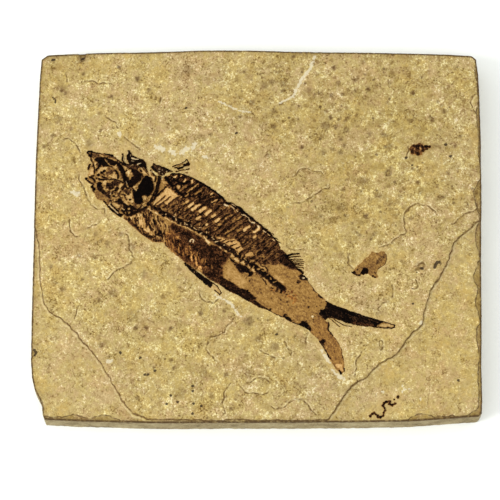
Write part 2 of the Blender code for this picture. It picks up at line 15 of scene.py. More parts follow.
import bmesh
import bpy
import numpy as np
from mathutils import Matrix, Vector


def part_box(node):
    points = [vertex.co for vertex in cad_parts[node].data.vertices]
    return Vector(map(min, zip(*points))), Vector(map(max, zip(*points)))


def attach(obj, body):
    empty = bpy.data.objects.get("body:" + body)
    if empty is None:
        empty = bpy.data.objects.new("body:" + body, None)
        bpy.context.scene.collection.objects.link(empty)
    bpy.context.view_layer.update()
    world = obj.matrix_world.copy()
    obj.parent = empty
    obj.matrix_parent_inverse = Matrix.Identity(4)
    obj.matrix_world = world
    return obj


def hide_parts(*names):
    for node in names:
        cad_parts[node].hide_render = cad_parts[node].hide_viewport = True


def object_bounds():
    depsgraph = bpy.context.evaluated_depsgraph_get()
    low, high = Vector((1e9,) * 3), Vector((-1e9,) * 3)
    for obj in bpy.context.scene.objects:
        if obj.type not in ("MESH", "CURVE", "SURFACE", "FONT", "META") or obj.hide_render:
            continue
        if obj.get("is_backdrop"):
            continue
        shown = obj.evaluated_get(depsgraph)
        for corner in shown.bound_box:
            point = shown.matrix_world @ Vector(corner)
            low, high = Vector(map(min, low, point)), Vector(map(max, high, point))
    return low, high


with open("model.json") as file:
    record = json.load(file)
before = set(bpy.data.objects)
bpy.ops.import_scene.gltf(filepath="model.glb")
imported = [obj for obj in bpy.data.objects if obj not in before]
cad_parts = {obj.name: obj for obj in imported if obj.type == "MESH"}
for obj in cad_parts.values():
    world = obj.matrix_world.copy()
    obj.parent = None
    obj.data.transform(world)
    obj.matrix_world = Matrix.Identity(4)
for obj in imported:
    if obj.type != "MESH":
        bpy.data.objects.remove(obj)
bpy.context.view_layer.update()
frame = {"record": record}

MM = 0.001
BED_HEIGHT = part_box("limestone_slab")[1][2] / MM
LEDGE_DROP = 0.9  # from the fish's bed down to the lower one at the front corners
CHIP_DROP = 0.4  # down to the floor of a thin flake off an edge

# The fish's frame on the slab
FISH_ORIGIN = (-44.03, 15.51)
FISH_TURN = math.radians(-33.0)
SPINE_LEAN = math.radians(70.0)
RIB_LEAN = math.radians(-50.0)

# The canvas
BLACK = 1.0
DARK = 0.85
SKIN = 0.36
CANVAS_PITCH = 0.13
FISH_LOW = (-4.2, -11.0)
FISH_HIGH = (90.5, 18.6)
UNPAINTED = -5.0  # the cover where nothing is painted
COVER_REACH = -0.3  # pieces are cut this far outside what is painted
FILM_LIFT = 0.05  # how far the thinnest skin stands above the bed
BONE_LIFT = 0.36  # how much further the blackest bone does
EDGE_SINK = 0.25  # how far a piece's rim dips under the stone's surface
PIECE_DEPTH = 0.5  # from the bed down to a piece's underside

# Waves that rag what is painted or broken: size, reach and, where they are fixed, seeds for either direction
CANVAS_WAVES = ((0.9, 0.1), (0.45, 0.1), (0.24, 0.06))
BROKEN_WAVES = ((1.0, 0.2, 91, 93), (0.5, 0.1, 92, 94))
CONTOUR_WAVES = ((1.1, 0.3, 111, 112),)

# Lighting and camera, in metres but for the camera's place and lens
FLOOR_WHITE = (0.955, 0.985, 0.95, 1.0)
FLOOR_REACH = 3.0
FLOOR_GAP = 0.02 * MM  # under the slab, so that the two don't share a plane
STONE_SHARE = 0.74  # a stone colour as seen, times this, is its own colour under these lights
WORLD_STRENGTH = 1.05
KEY_PLACE = (-0.75, -0.28, 0.8)
KEY_SIZE = 0.45
KEY_POWER = 6.0
CAMERA_PLACE = (-1.95, -198.7, 732.2)
CAMERA_TILT = math.radians(15.0)
CAMERA_LENS = 207.7
SENSOR = 36.0


# ---------------------------------------------------------------- flat geometry

def smooth(low, high, value):
    share = np.clip((value - low) / (high - low), 0.0, 1.0)
    return share * share * (3.0 - 2.0 * share)


def wander(x, y, size, seed):
    """Smooth random values from -1 to 1 that change over about this many millimetres."""
    table = np.random.default_rng(seed).uniform(-1.0, 1.0, (256, 256))
    gx, gy = x / size + 512.0, y / size + 512.0
    ix, iy = np.floor(gx).astype(int), np.floor(gy).astype(int)
    fx, fy = smooth(0.0, 1.0, gx - ix), smooth(0.0, 1.0, gy - iy)

    def corner(dx, dy):
        return table[(ix + dx) & 255, (iy + dy) & 255]

    near = corner(0, 0) * (1.0 - fx) + corner(1, 0) * fx
    far = corner(0, 1) * (1.0 - fx) + corner(1, 1) * fx
    return near * (1.0 - fy) + far * fy


def wobbled(x, y, waves):
    """Places moved a little both ways, so that what is drawn at them comes out ragged."""
    moved_x, moved_y = x.copy(), y.copy()
    for size, reach, seed_x, seed_y in waves:
        moved_x += reach * wander(x, y, size, seed_x)
        moved_y += reach * wander(x, y, size, seed_y)
    return moved_x, moved_y


def near_points(x, y, points, margin):
    """Which places are in the box round these points, with this margin."""
    xs, ys = zip(*points)
    inside_x = (x > min(xs) - margin) & (x < max(xs) + margin)
    return inside_x & (y > min(ys) - margin) & (y < max(ys) + margin)


def line_gap(x, y, points, closed=False):
    """Distance to a line of points, which side of it, and how far along it as a share."""
    gap = np.full(x.shape, 1e6)
    side, share_along = np.zeros(x.shape), np.zeros(x.shape)
    ends = list(points[1:]) + ([points[0]] if closed else [])
    lengths = [math.dist(a, b) for a, b in zip(points, ends)]
    run, total = 0.0, sum(lengths)
    for (ax, ay), (bx, by), length in zip(points, ends, lengths):
        dx, dy = bx - ax, by - ay
        share = np.clip(((x - ax) * dx + (y - ay) * dy) / length ** 2, 0.0, 1.0)
        here = np.hypot(x - (ax + share * dx), y - (ay + share * dy))
        nearer = here < gap
        gap = np.where(nearer, here, gap)
        side = np.where(nearer, np.sign(dx * (y - (ay + share * dy)) - dy * (x - (ax + share * dx))), side)
        share_along = np.where(nearer, (run + share * length) / total, share_along)
        run += length
    return gap, side, share_along


def depth_inside(x, y, outline):
    """How far inside an outline each place is, in millimetres, and less than 0 outside it."""
    gap = line_gap(x, y, outline, closed=True)[0]
    odd = np.zeros(x.shape, bool)
    for (ax, ay), (bx, by) in zip(outline, outline[1:] + outline[:1]):
        if ay != by:
            odd ^= ((ay > y) != (by > y)) & (x < (bx - ax) * (y - ay) / (by - ay) + ax)
    return np.where(odd, gap, -gap)


def sliver(s, t, lean, reach):
    """The two ends of a short straight line through a place."""
    step_s, step_t = reach * math.cos(lean), reach * math.sin(lean)
    return [(s - step_s, t - step_t), (s + step_s, t + step_t)]


def point_on(line, s):
    """Where a line that runs along the fish is at s."""
    return float(np.interp(s, [p[0] for p in line], [p[1] for p in line]))


# ---------------------------------------------------------------- canvas

class Canvas:
    """A patch of a bed with what lies on it, painted on an even grid in a flat frame of its own."""

    def __init__(self, origin, turn, low, high, height, seed):
        self.origin, self.turn, self.height, self.low = origin, turn, height, low
        across = np.arange(low[0], high[0], CANVAS_PITCH)
        along = np.arange(low[1], high[1], CANVAS_PITCH)
        self.s, self.t = np.meshgrid(across, along, indexing="ij")
        waves = [(*wave, seed + 2 * step, seed + 2 * step + 1) for step, wave in enumerate(CANVAS_WAVES)]
        self.ragged_s, self.ragged_t = wobbled(self.s, self.t, waves)
        self.fields = {name: np.zeros(self.s.shape) for name in ("tone", "red", "pale", "swell")}
        self.cover = np.full(self.s.shape, UNPAINTED)

    def window(self, points, margin):
        """The part of the grid round these points."""
        picked = []
        for axis in (0, 1):
            values = [p[axis] for p in points]
            first = int((min(values) - margin - self.low[axis]) / CANVAS_PITCH)
            last = int((max(values) + margin - self.low[axis]) / CANVAS_PITCH) + 2
            picked.append(slice(max(first, 0), max(last, 0)))
        return tuple(picked)

    def paint(self, where, depth, soft, cover, look):
        share = smooth(-soft, soft, depth)
        for name, value in look.items():
            layer = self.fields[name][where]
            layer += (value - layer) * share
        if cover:
            self.cover[where] = np.maximum(self.cover[where], depth)

    def area(self, points, soft=0.13, cover=True, **look):
        where = self.window(points, 1.5)
        depth = depth_inside(self.ragged_s[where], self.ragged_t[where], points)
        self.paint(where, depth, soft, cover, look)

    def stroke(self, points, width, tip=None, soft=0.1, cover=True, **look):
        """A line of this width, which changes evenly to another width at its end if one is given."""
        where = self.window(points, 1.5 + width)
        gap, _, share = line_gap(self.ragged_s[where], self.ragged_t[where], points)
        half = (width + ((width if tip is None else tip) - width) * share) / 2.0
        self.paint(where, half - gap, soft, cover, look)

    def dot(self, s, t, radius, soft=0.12, cover=True, **look):
        where = self.window([(s, t)], 1.5 + radius)
        gap = np.hypot(self.ragged_s[where] - s, self.ragged_t[where] - t)
        self.paint(where, radius - gap, soft, cover, look)

    def shade(self, points, **look):
        """An area painted on what is there already, which covers no more of the stone."""
        self.area(points, cover=False, **look)

    def mark(self, points, width, **look):
        """A stroke of that kind."""
        self.stroke(points, width, cover=False, **look)

    def speck(self, s, t, radius, **look):
        """A dot of that kind."""
        self.dot(s, t, radius, cover=False, **look)

    def streak(self, outline, lean, length, width, strength, seed, soft=0.5):
        """Fine streaks of lighter and darker bone, long one way and narrow the other, over an area."""
        where = self.window(outline, 1.0)
        s, t = self.s[where], self.t[where]
        along = s * math.cos(lean) + t * math.sin(lean)
        across = t * math.cos(lean) - s * math.sin(lean)
        value = wander(along / length, across / width, 1.0, seed)
        share = smooth(0.0, soft, depth_inside(s, t, outline)) * strength
        tone = self.fields["tone"][where]
        tone += value * share

    def slab_place(self, s, t):
        c, d = math.cos(self.turn), math.sin(self.turn)
        return self.origin[0] + s * c - t * d, self.origin[1] + s * d + t * c

    def cover_at(self, x, y):
        """The cover at places on the slab."""
        c, d = math.cos(self.turn), math.sin(self.turn)
        dx, dy = x - self.origin[0], y - self.origin[1]
        i = ((dx * c + dy * d - self.low[0]) / CANVAS_PITCH).round().astype(int)
        j = ((dy * c - dx * d - self.low[1]) / CANVAS_PITCH).round().astype(int)
        rows, columns = self.s.shape
        known = (i >= 0) & (j >= 0) & (i < rows) & (j < columns)
        found = self.cover[np.clip(i, 0, rows - 1), np.clip(j, 0, columns - 1)]
        return np.where(known, found, UNPAINTED)


def paint_strokes(canvas, strokes, **look):
    for tone, width, points in strokes:
        canvas.stroke(points, width, tone=tone, **look)


def paint_areas(canvas, areas, **look):
    for tone, points in areas:
        canvas.area(points, tone=tone, **look)


def paint_dots(canvas, dots, **look):
    for tone, radius, spots in dots:
        for s, t in spots:
            canvas.dot(s, t, radius, tone=tone, **look)


# Painted highlights: small pale specks on dark bone and lumps.
def paint_highlights(canvas, places, radius, tone, pale):
    for s, t in places:
        canvas.speck(s, t, radius, tone=tone, pale=pale)


# ---------------------------------------------------------------- the fish, part by part

BODY_EDGE = [
    (13.4, 9.6), (15.2, 9.2), (16.4, 9.8), (17, 10.6), (17.8, 11.9), (20, 13.1), (21, 13.5), (23.2, 14.1),
    (24, 13.9), (24.8, 14.2), (25.05, 13.3), (25.3, 14), (27, 14.3), (30, 14.3), (33, 13.9), (34.3, 13.1),
    (36, 14), (38, 13.9), (42, 13.4), (45, 13), (48, 12.6), (50, 12), (52, 11.3), (52.8, 10.3),
    (54.5, 10.1), (55.5, 9.5), (58, 8.6), (61, 7.9), (64.3, 6.7), (66.3, 5.9), (69.5, 5.3), (70.5, 5),
    (70.9, 4.3), (71.1, 3.4), (70.6, 2.6), (70.4, 1), (72, 0.5), (72, -3.9), (68, -4.1), (66, -4.4),
    (63, -4.9), (60, -5.1), (57.5, -5.6), (54, -5.9), (50, -6.1), (47.5, -6.5), (45, -6.3), (42, -6.6),
    (39, -6.2), (34, -6.3), (33, -6), (29, -5.6), (26.5, -4.8), (25.5, -5.4), (24, -6), (20, -5.9),
    (17, -5.2), (13.8, -4.6), (13.8, -1), (14, 4),
]
BACK = [
    (17.2, 10.2), (17.8, 11.9), (20, 13.1), (23.2, 14.1), (27, 14.4), (30, 14.4), (34, 13.6), (38, 14),
    (42, 13.5), (48, 12.7), (52, 11.3), (52.8, 10.4), (54.5, 10.2), (56, 9.5), (58.9, 8.4), (59.1, 7.8),
    (58.4, 7.2), (57, 7), (55.5, 7), (54.4, 6.6), (54, 5.9), (52.8, 5.4), (51.9, 5.1), (52, 4.4), (50.3, 4),
    (44, 3.4), (36, 3.6), (28, 3.3), (22, 3.2), (19.2, 2.4), (18.6, 8),
]
NAPE_DARK = [
    (17.3, 10), (18, 11.9), (20, 13.1), (23.2, 14.1), (26, 14.3), (30.5, 14.3), (34, 13.7), (34.2, 12.4),
    (33.6, 9.6), (31, 9.4), (28, 9.6), (25.4, 9), (24, 7.6), (23, 8.2), (20, 9),
]
GUT = [
    (25.5, 0.9), (29, 1.2), (33, 1.7), (36.9, 1), (38.5, 1.9), (42.6, 1.9), (42.9, 0.6), (42.7, -1.8),
    (43.5, -2.5), (43.8, -3.8), (45.2, -4.6), (45.4, -6.2), (42, -6.5), (39.5, -6.2), (38.4, -4.9),
    (37.5, -3.1), (35, -2.4), (31.5, -1.7), (28.5, -1.1), (26.6, -0.8), (25.6, -0.5),
]
GUT_RED = [
    (26.3, -0.9), (28.5, -1), (31.5, -1.5), (35, -2.2), (38.6, -2.6), (41.5, -3.4), (40.5, -5), (38, -5.7),
    (36, -5.9), (33, -5.9), (29.5, -5.5), (27, -4.6), (25.2, -2.6),
]
BELLY_FRONT = [
    (17.6, 0.4), (20, 0.2), (24, 0.4), (25.4, -0.6), (26.6, -2.4), (26.4, -4.8), (25.3, -5.3), (24, -6),
    (20, -5.9), (17, -5.2), (14.2, -4.8), (15, -3.4), (16.2, -1.4),
]
BELLY_BAND = [
    (14.4, -4.5), (17, -4.8), (18.6, -4.5), (21, -4.7), (23, -4.5), (25.4, -4.3), (25.9, -5), (24, -6.2),
    (20, -5.9), (17, -5.4), (14.2, -4.9),
]
STALK = [
    (43.5, -4.2), (43, 1), (48, 3.6), (52.5, 5.4), (55, 6.9), (58.6, 7.3), (61, 7.8), (66, 5.9), (70.4, 5),
    (71, 3.4), (70.4, 1), (72, -3.9), (60, -5.1), (50, -4.2),
]
STALK_PATCH = [
    (43.2, 1), (44.5, 1.3), (46, 0.9), (46.9, 1.4), (48.4, 1.5), (50.6, 1.1), (50.5, 0.2), (50, -0.5),
    (49.6, 0.1), (48.6, 0), (48.2, -0.8), (47.5, -0.7), (46, -0.2), (44.5, 0.5),
]
STALK_KEEL = [
    (44.5, -4.3), (46.5, -4.1), (50, -4.2), (51.4, -3.9), (51.9, -3.4), (53, -3.8), (54.8, -4.2),
    (54.9, -4.9), (56.6, -5), (58, -5.2), (57.4, -5.7), (54, -5.9), (50, -6.1), (47.5, -6.6), (45, -6.2),
]
CHAIN = [
    (18.8, 2), (22, 1.9), (25, 2.2), (28, 2.4), (31, 2.7), (35, 2.9), (39, 2.8), (43, 2.8), (47, 2.7),
    (50, 2.5), (54, 2.2), (57, 1.9), (59.6, 1.7),
]
SPINE_PITCH = 1.55
FIRST_SPINE = 21.4  # where it crosses the line t = 7.8
LAST_SPINE = 53.0
SPINE_LEVEL = 7.8

# Gaps between the spines where the tan stone shows: place, width, length, tone
SPINE_GAPS = [
    (26.9, 7.6, 0.8, 2.2, 0.04), (28.3, 7.8, 0.8, 3.3, 0.04), (30.1, 8.2, 1, 2.5, 0.06),
    (31.8, 8.3, 0.9, 2.5, 0.08), (33.5, 8.4, 0.9, 1.5, 0.12), (34.9, 7.9, 0.85, 2, 0.06),
    (36.1, 7.3, 0.7, 1, 0.3), (25.6, 7.8, 0.7, 1.2, 0.16), (30.5, 5.8, 0.85, 1.8, 0.08),
    (33.3, 5.4, 0.75, 0.9, 0), (42.5, 10.2, 0.9, 2.4, 0.06), (45, 11.2, 0.6, 2.4, 0),
    (45.5, 9.4, 0.8, 1.3, 0.12), (24.8, 11.6, 0.4, 4.2, 0.22), (26.6, 11.6, 0.5, 2.4, 0.34),
    (31.4, 11.7, 0.45, 1.9, 0.1), (29.8, 13.1, 0.4, 1.1, 0.02), (38.5, 10.3, 0.35, 1.3, 0.3),
    (39.4, 11.5, 0.3, 1.3, 0.25), (22.7, 10.3, 0.7, 2.6, 0.42), (24.5, 9.2, 0.4, 1.2, 0.2),
    (23.6, 7.9, 0.45, 0.7, 0.15), (39.6, 8.1, 0.5, 1.6, 0.4), (41.2, 8.9, 0.45, 1.6, 0.42),
    (22.8, 5, 0.35, 1.4, 0.35), (26.4, 5.6, 0.3, 0.8, 0.35), (28.2, 5.2, 0.4, 0.6, 0.3),
    (38.7, 6.3, 0.35, 1.3, 0.25), (44, 8.6, 0.4, 1.4, 0.45), (47.6, 9.6, 0.4, 1.5, 0.45),
    (49, 10.6, 0.35, 1.6, 0.48), (50.6, 9.6, 0.3, 1.8, 0.5), (46.6, 7.9, 0.4, 1, 0.4),
]
UNDER_BACK_GAPS = [
    (0.14, [(37, 3.9), (38.6, 4.6), (40, 4.9), (41.3, 6), (42.8, 6.1), (43.8, 5.5), (44.9, 5), (44.3, 4),
            (43.2, 3.6), (40.6, 3.7), (38, 3.6)]),
    (0.2, [(46.4, 3.6), (47.4, 4.4), (48, 5.2), (47.6, 5.6), (46.6, 5.2), (46, 4.2)]),
    (0.18, [(50.2, 3.1), (50.6, 3.8), (51.3, 3.6), (52.2, 3.9), (53, 3.5), (53.1, 3), (51.5, 3)]),
]
BACK_STONE_AND_HIGHLIGHTS = [  # bare stone under the keel and between the scutes, whitened with painted highlights: paleness, width, line
    (0.8, 0.34, [(34.2, 12.3), (35.2, 12.7)]), (0.5, 0.3, [(35.9, 12.9), (37, 12.85)]),
    (0.4, 0.24, [(37.6, 12.85), (38.3, 12.7)]), (0.6, 0.24, [(39.4, 12.75), (41.2, 12.8), (42.4, 12.2)]),
    (0.8, 0.3, [(42.8, 12.3), (43.5, 12.5)]), (0.6, 0.36, [(44.5, 12.4), (45.1, 12)]),
    (0.5, 0.3, [(46.5, 12), (47.2, 12)]), (0.4, 0.24, [(47.8, 11.8), (48.5, 11.7)]),
    (0.5, 0.24, [(49.8, 11.45), (50.5, 11.3)]), (0.5, 0.2, [(35.6, 13.5), (36.8, 13.6)]),
]
SHOULDER_GAPS = [
    (0.1, [(18.9, 8.3), (22.9, 7.9), (22.5, 6.9), (21.8, 4.3), (20.4, 4.2), (19.4, 2.6), (18.4, 2),
           (18.4, 5), (18.9, 6.6)]),
    (0.02, [(18.5, 11.3), (19.6, 12.5), (19.7, 11.6), (19.2, 11.2)]),
    (0.05, [(20.3, 12.4), (20.7, 12.4), (20.8, 13.2), (20.3, 13.2)]),
    (0.02, [(21.6, 11.5), (22.1, 11.5), (22.2, 12.6), (21.8, 12.8)]),
    (0.12, [(20.9, 9.5), (21.8, 9.4), (21.9, 10.2), (21, 10.3)]),
    (0.02, [(23.2, 12.9), (23.9, 12.5), (24.1, 13), (23.3, 13.7)]),
    (0.2, [(17, 9.2), (18.6, 9.5), (20, 9.3), (18.6, 9), (17.6, 8.5), (16.9, 8.7)]),
    (0.1, [(16.9, 11), (17.6, 11.6), (17.9, 11.3), (17.3, 10.6)]),
]
SHOULDER_BARS = [
    (BLACK, 0.65, [(17.3, 10.1), (19, 9.5), (21, 8.9), (23.3, 8.4)]),
    (BLACK, 0.45, [(18, 11), (19.4, 10.8), (21, 11), (22.2, 11.2)]),
    (BLACK, 0.4, [(18, 12), (19.4, 12.8), (20.4, 13.3), (22.4, 13.7)]),
    (0.95, 0.95, [(15.9, 9.4), (16.5, 8), (17.1, 6.6), (17.5, 5), (17.6, 3.4), (17.5, 1.6)]),
    (0.95, 0.38, [(18.7, 7.9), (18.5, 6.4), (18.2, 5.2), (18.1, 3.4)]),
    (0.95, 0.6, [(17.3, 0.4), (16.6, -0.8), (15.7, -2.1), (15.1, -3)]),
    (0.9, 0.45, [(17.5, 2), (18.6, 1.6), (19.1, 1)]), (0.75, 0.35, [(19.9, 6), (19.5, 4.2), (19.1, 2.6)]),
    (0.7, 0.35, [(21.2, 6.5), (20.8, 5.2), (20.4, 3.9)]),
    (0.75, 0.35, [(22.7, 7.2), (22.2, 5.8), (21.8, 4.6)]),
]
BELLY_GAPS = [
    (0.12, [(18.1, -2.6), (18.6, -2.9), (19.4, -3.8), (19.3, -4.3), (18.6, -4.1), (18.1, -3.5)]),
    (0.12, [(20.5, -3.3), (21.8, -3.2), (22.6, -3.9), (22.2, -4.6), (21.2, -4.6), (20.6, -4.1)]),
    (0.1, [(22.8, -3.9), (24, -4), (24.9, -4.3), (24.2, -4.6), (23, -4.6)]),
    (0.14, [(24.4, -2.9), (25.2, -3.2), (26.6, -4.2), (27.2, -4.7), (26, -4.7), (24.9, -3.9)]),
    (0.34, [(23.6, 0.2), (24.6, 0.2), (25.6, -1), (26.4, -2), (25.8, -2.6), (24.6, -2.2), (23.6, -1)]),
    (0.1, [(18.3, -1.2), (19.2, -1.9), (19.6, -2.6), (18.8, -2.3), (18.2, -1.8)]),
    (0.14, [(15.4, -3.4), (16.4, -2), (17.4, -1), (18, -1.4), (17.4, -2.4), (16.6, -3.6), (16, -4.4),
            (15.2, -4.3)]),
]
BELLY_STREAKS = [
    (0.1, 0.3, [(30, -2.7), (30.5, -3.6)]), (0.2, 0.4, [(30.6, -3.9), (31.3, -4.8)]),
    (0.15, 0.35, [(34, -3), (34.8, -4.2), (35.4, -4.9)]),
    (0.04, 0.45, [(35.3, -3.5), (36.2, -4.2), (37.2, -5.2)]),
    (0.08, 0.4, [(36.8, -4.4), (37.8, -5.2), (38.2, -5.8)]), (0.02, 0.4, [(38, -5), (38.5, -5.3)]),
    (DARK, 0.3, [(30.9, -3), (31.8, -4.4), (32.8, -5.6)]),
    (DARK, 0.3, [(32.2, -3), (33.2, -4.5), (34.2, -5.6)]),
    (DARK, 0.3, [(33.4, -3.2), (34.2, -4.4), (35.2, -5.4)]),
    (0.8, 0.25, [(35, -3.3), (36, -4.6), (36.8, -5.6)]), (0.8, 0.25, [(36.6, -4), (37.6, -5)]),
    (0.2, 0.25, [(33, -3.2), (33.6, -4.2)]), (0.9, 0.35, [(26.8, -4.6), (27.8, -5.2)]),
    (0.3, 0.35, [(28.6, -1.6), (29.6, -1.8)]),
]
FRONT_RIBS = [
    (0.8, 0.8, [(18.2, -1.3), (20.4, -2.9), (22.7, -3.7), (24.5, -3.8)]),
    (0.86, 0.7, [(19.9, -0.2), (21.5, -1.4), (23, -2.3), (24.9, -3)]),
    (0.88, 0.5, [(18.5, -0.5), (19.6, -1.4), (20.7, -2.1)]), (0.84, 0.8, [(16.8, -3.5), (17.2, -3.8)]),
    (0.8, 0.7, [(15.4, -4.3), (17, -4.9), (18.8, -5.2), (21.9, -5.6), (24.6, -5.5)]),
    (0.82, 0.4, [(21.8, -0.2), (23.4, -1.6)]), (0.05, 0.4, [(18.2, -3.1), (19, -3.8), (19.7, -4.3)]),
    (0.12, 0.4, [(20.4, -4.5), (23, -4.8)]), (0.08, 0.24, [(20.6, -2.4), (22.2, -3.1)]),
]
STALK_BARS = [
    (DARK, 0.3, [(50.9, 3.3), (51.6, 3.8), (52.3, 4.1), (53.1, 3.9), (53.6, 3.2)]),
    (0.9, 0.35, [(43.2, 1), (45, 0.7), (47.5, -0.6)]), (0.9, 0.25, [(49.9, -0.2), (49.5, -1.2)]),
    (0.8, 0.25, [(50.6, 3.6), (50.2, 2.8)]), (0.85, 0.3, [(46.1, 1.8), (46.3, 0.9)]),
    (0.8, 0.3, [(42.8, 3), (43, 1.8), (42.8, 0.6)]), (0.85, 0.3, [(44.2, 2.6), (44.4, 1.4)]),
    (0.85, 0.35, [(49.4, 2.2), (49.6, 1.2)]), (0.8, 0.3, [(51.1, 2.2), (51.3, 1)]),
    (0.85, 0.35, [(52.9, 1.2), (54, 0.8), (55, 0.4)]), (0.8, 0.2, [(62.3, 0.9), (62.5, 1.5), (62.9, 1.7)]),
    (0.9, 0.3, [(70.3, -1), (70.8, -1.3)]), (0.9, 0.5, [(58, 0.9), (58.2, 0.2)]),
    (0.9, 0.4, [(59.2, 1.2), (59.3, 0.4)]), (0.9, 0.28, [(55, -5), (58, -5.2), (60.2, -5.1), (63, -4.9)]),
    (0.92, 0.3, [(61, 7.9), (62.6, 7.5), (64.2, 6.8)]), (0.8, 0.2, [(64.2, 6.8), (66, 6)]),
    (0.85, 0.3, [(66, 5.8), (66.9, 5.7)]), (0.85, 0.25, [(66.3, -4.3), (68.4, -4.1), (71.3, -3.9)]),
    (0.45, 0.4, [(63.5, -1.8), (66.5, -1)]), (0.45, 0.5, [(52, -1.8), (53.2, -2.4)]),
]
STALK_BLOTS = [
    (0.95, [(63.2, -4.7), (63.2, -3.8), (63.9, -3.5), (65, -3.9), (65.9, -4.1), (65.8, -4.5)]),
    (0.95, [(66.2, -4.3), (67.8, -3.8), (68, -2.7), (68.8, -2.6), (69, -2.1), (69.8, -2.7), (70.6, -3),
            (71.4, -3.5), (71, -3.9), (69, -4)]),
    (0.92, [(60.8, 6.9), (61, 7.6), (61.8, 7.8), (63, 7.5), (63.4, 7), (62.4, 6.5), (61.9, 6), (61.4, 6.3)]),
    (0.85, [(61.2, 5), (61, 5.7), (61.7, 6), (62.2, 5.6), (62, 5)]),
    (0.95, [(67.4, 5.6), (69.2, 5.3), (69.4, 5.1), (68.3, 4.8)]),
    (0.92, [(56.2, 0.3), (57.3, 0.4), (57.3, -0.1), (56.9, -0.5), (56.4, -0.3)]),
]
STALK_DOTS = [
    (0.9, 0.22, [(60.8, 1), (62, -0.8), (60.3, -1.1), (67.4, 1.1), (63, 1.9), (50.9, -1.3)]),
    (0.95, 0.3, [(61, 8.1), (60, 8.3), (59.4, -4.7)]),
    (0.75, 0.15, [(69, 2.4), (69.6, 3.2), (66.2, 3.2), (62.8, -1.2), (58.2, -2), (55, -2.3), (54.3, -1.6)]),
]

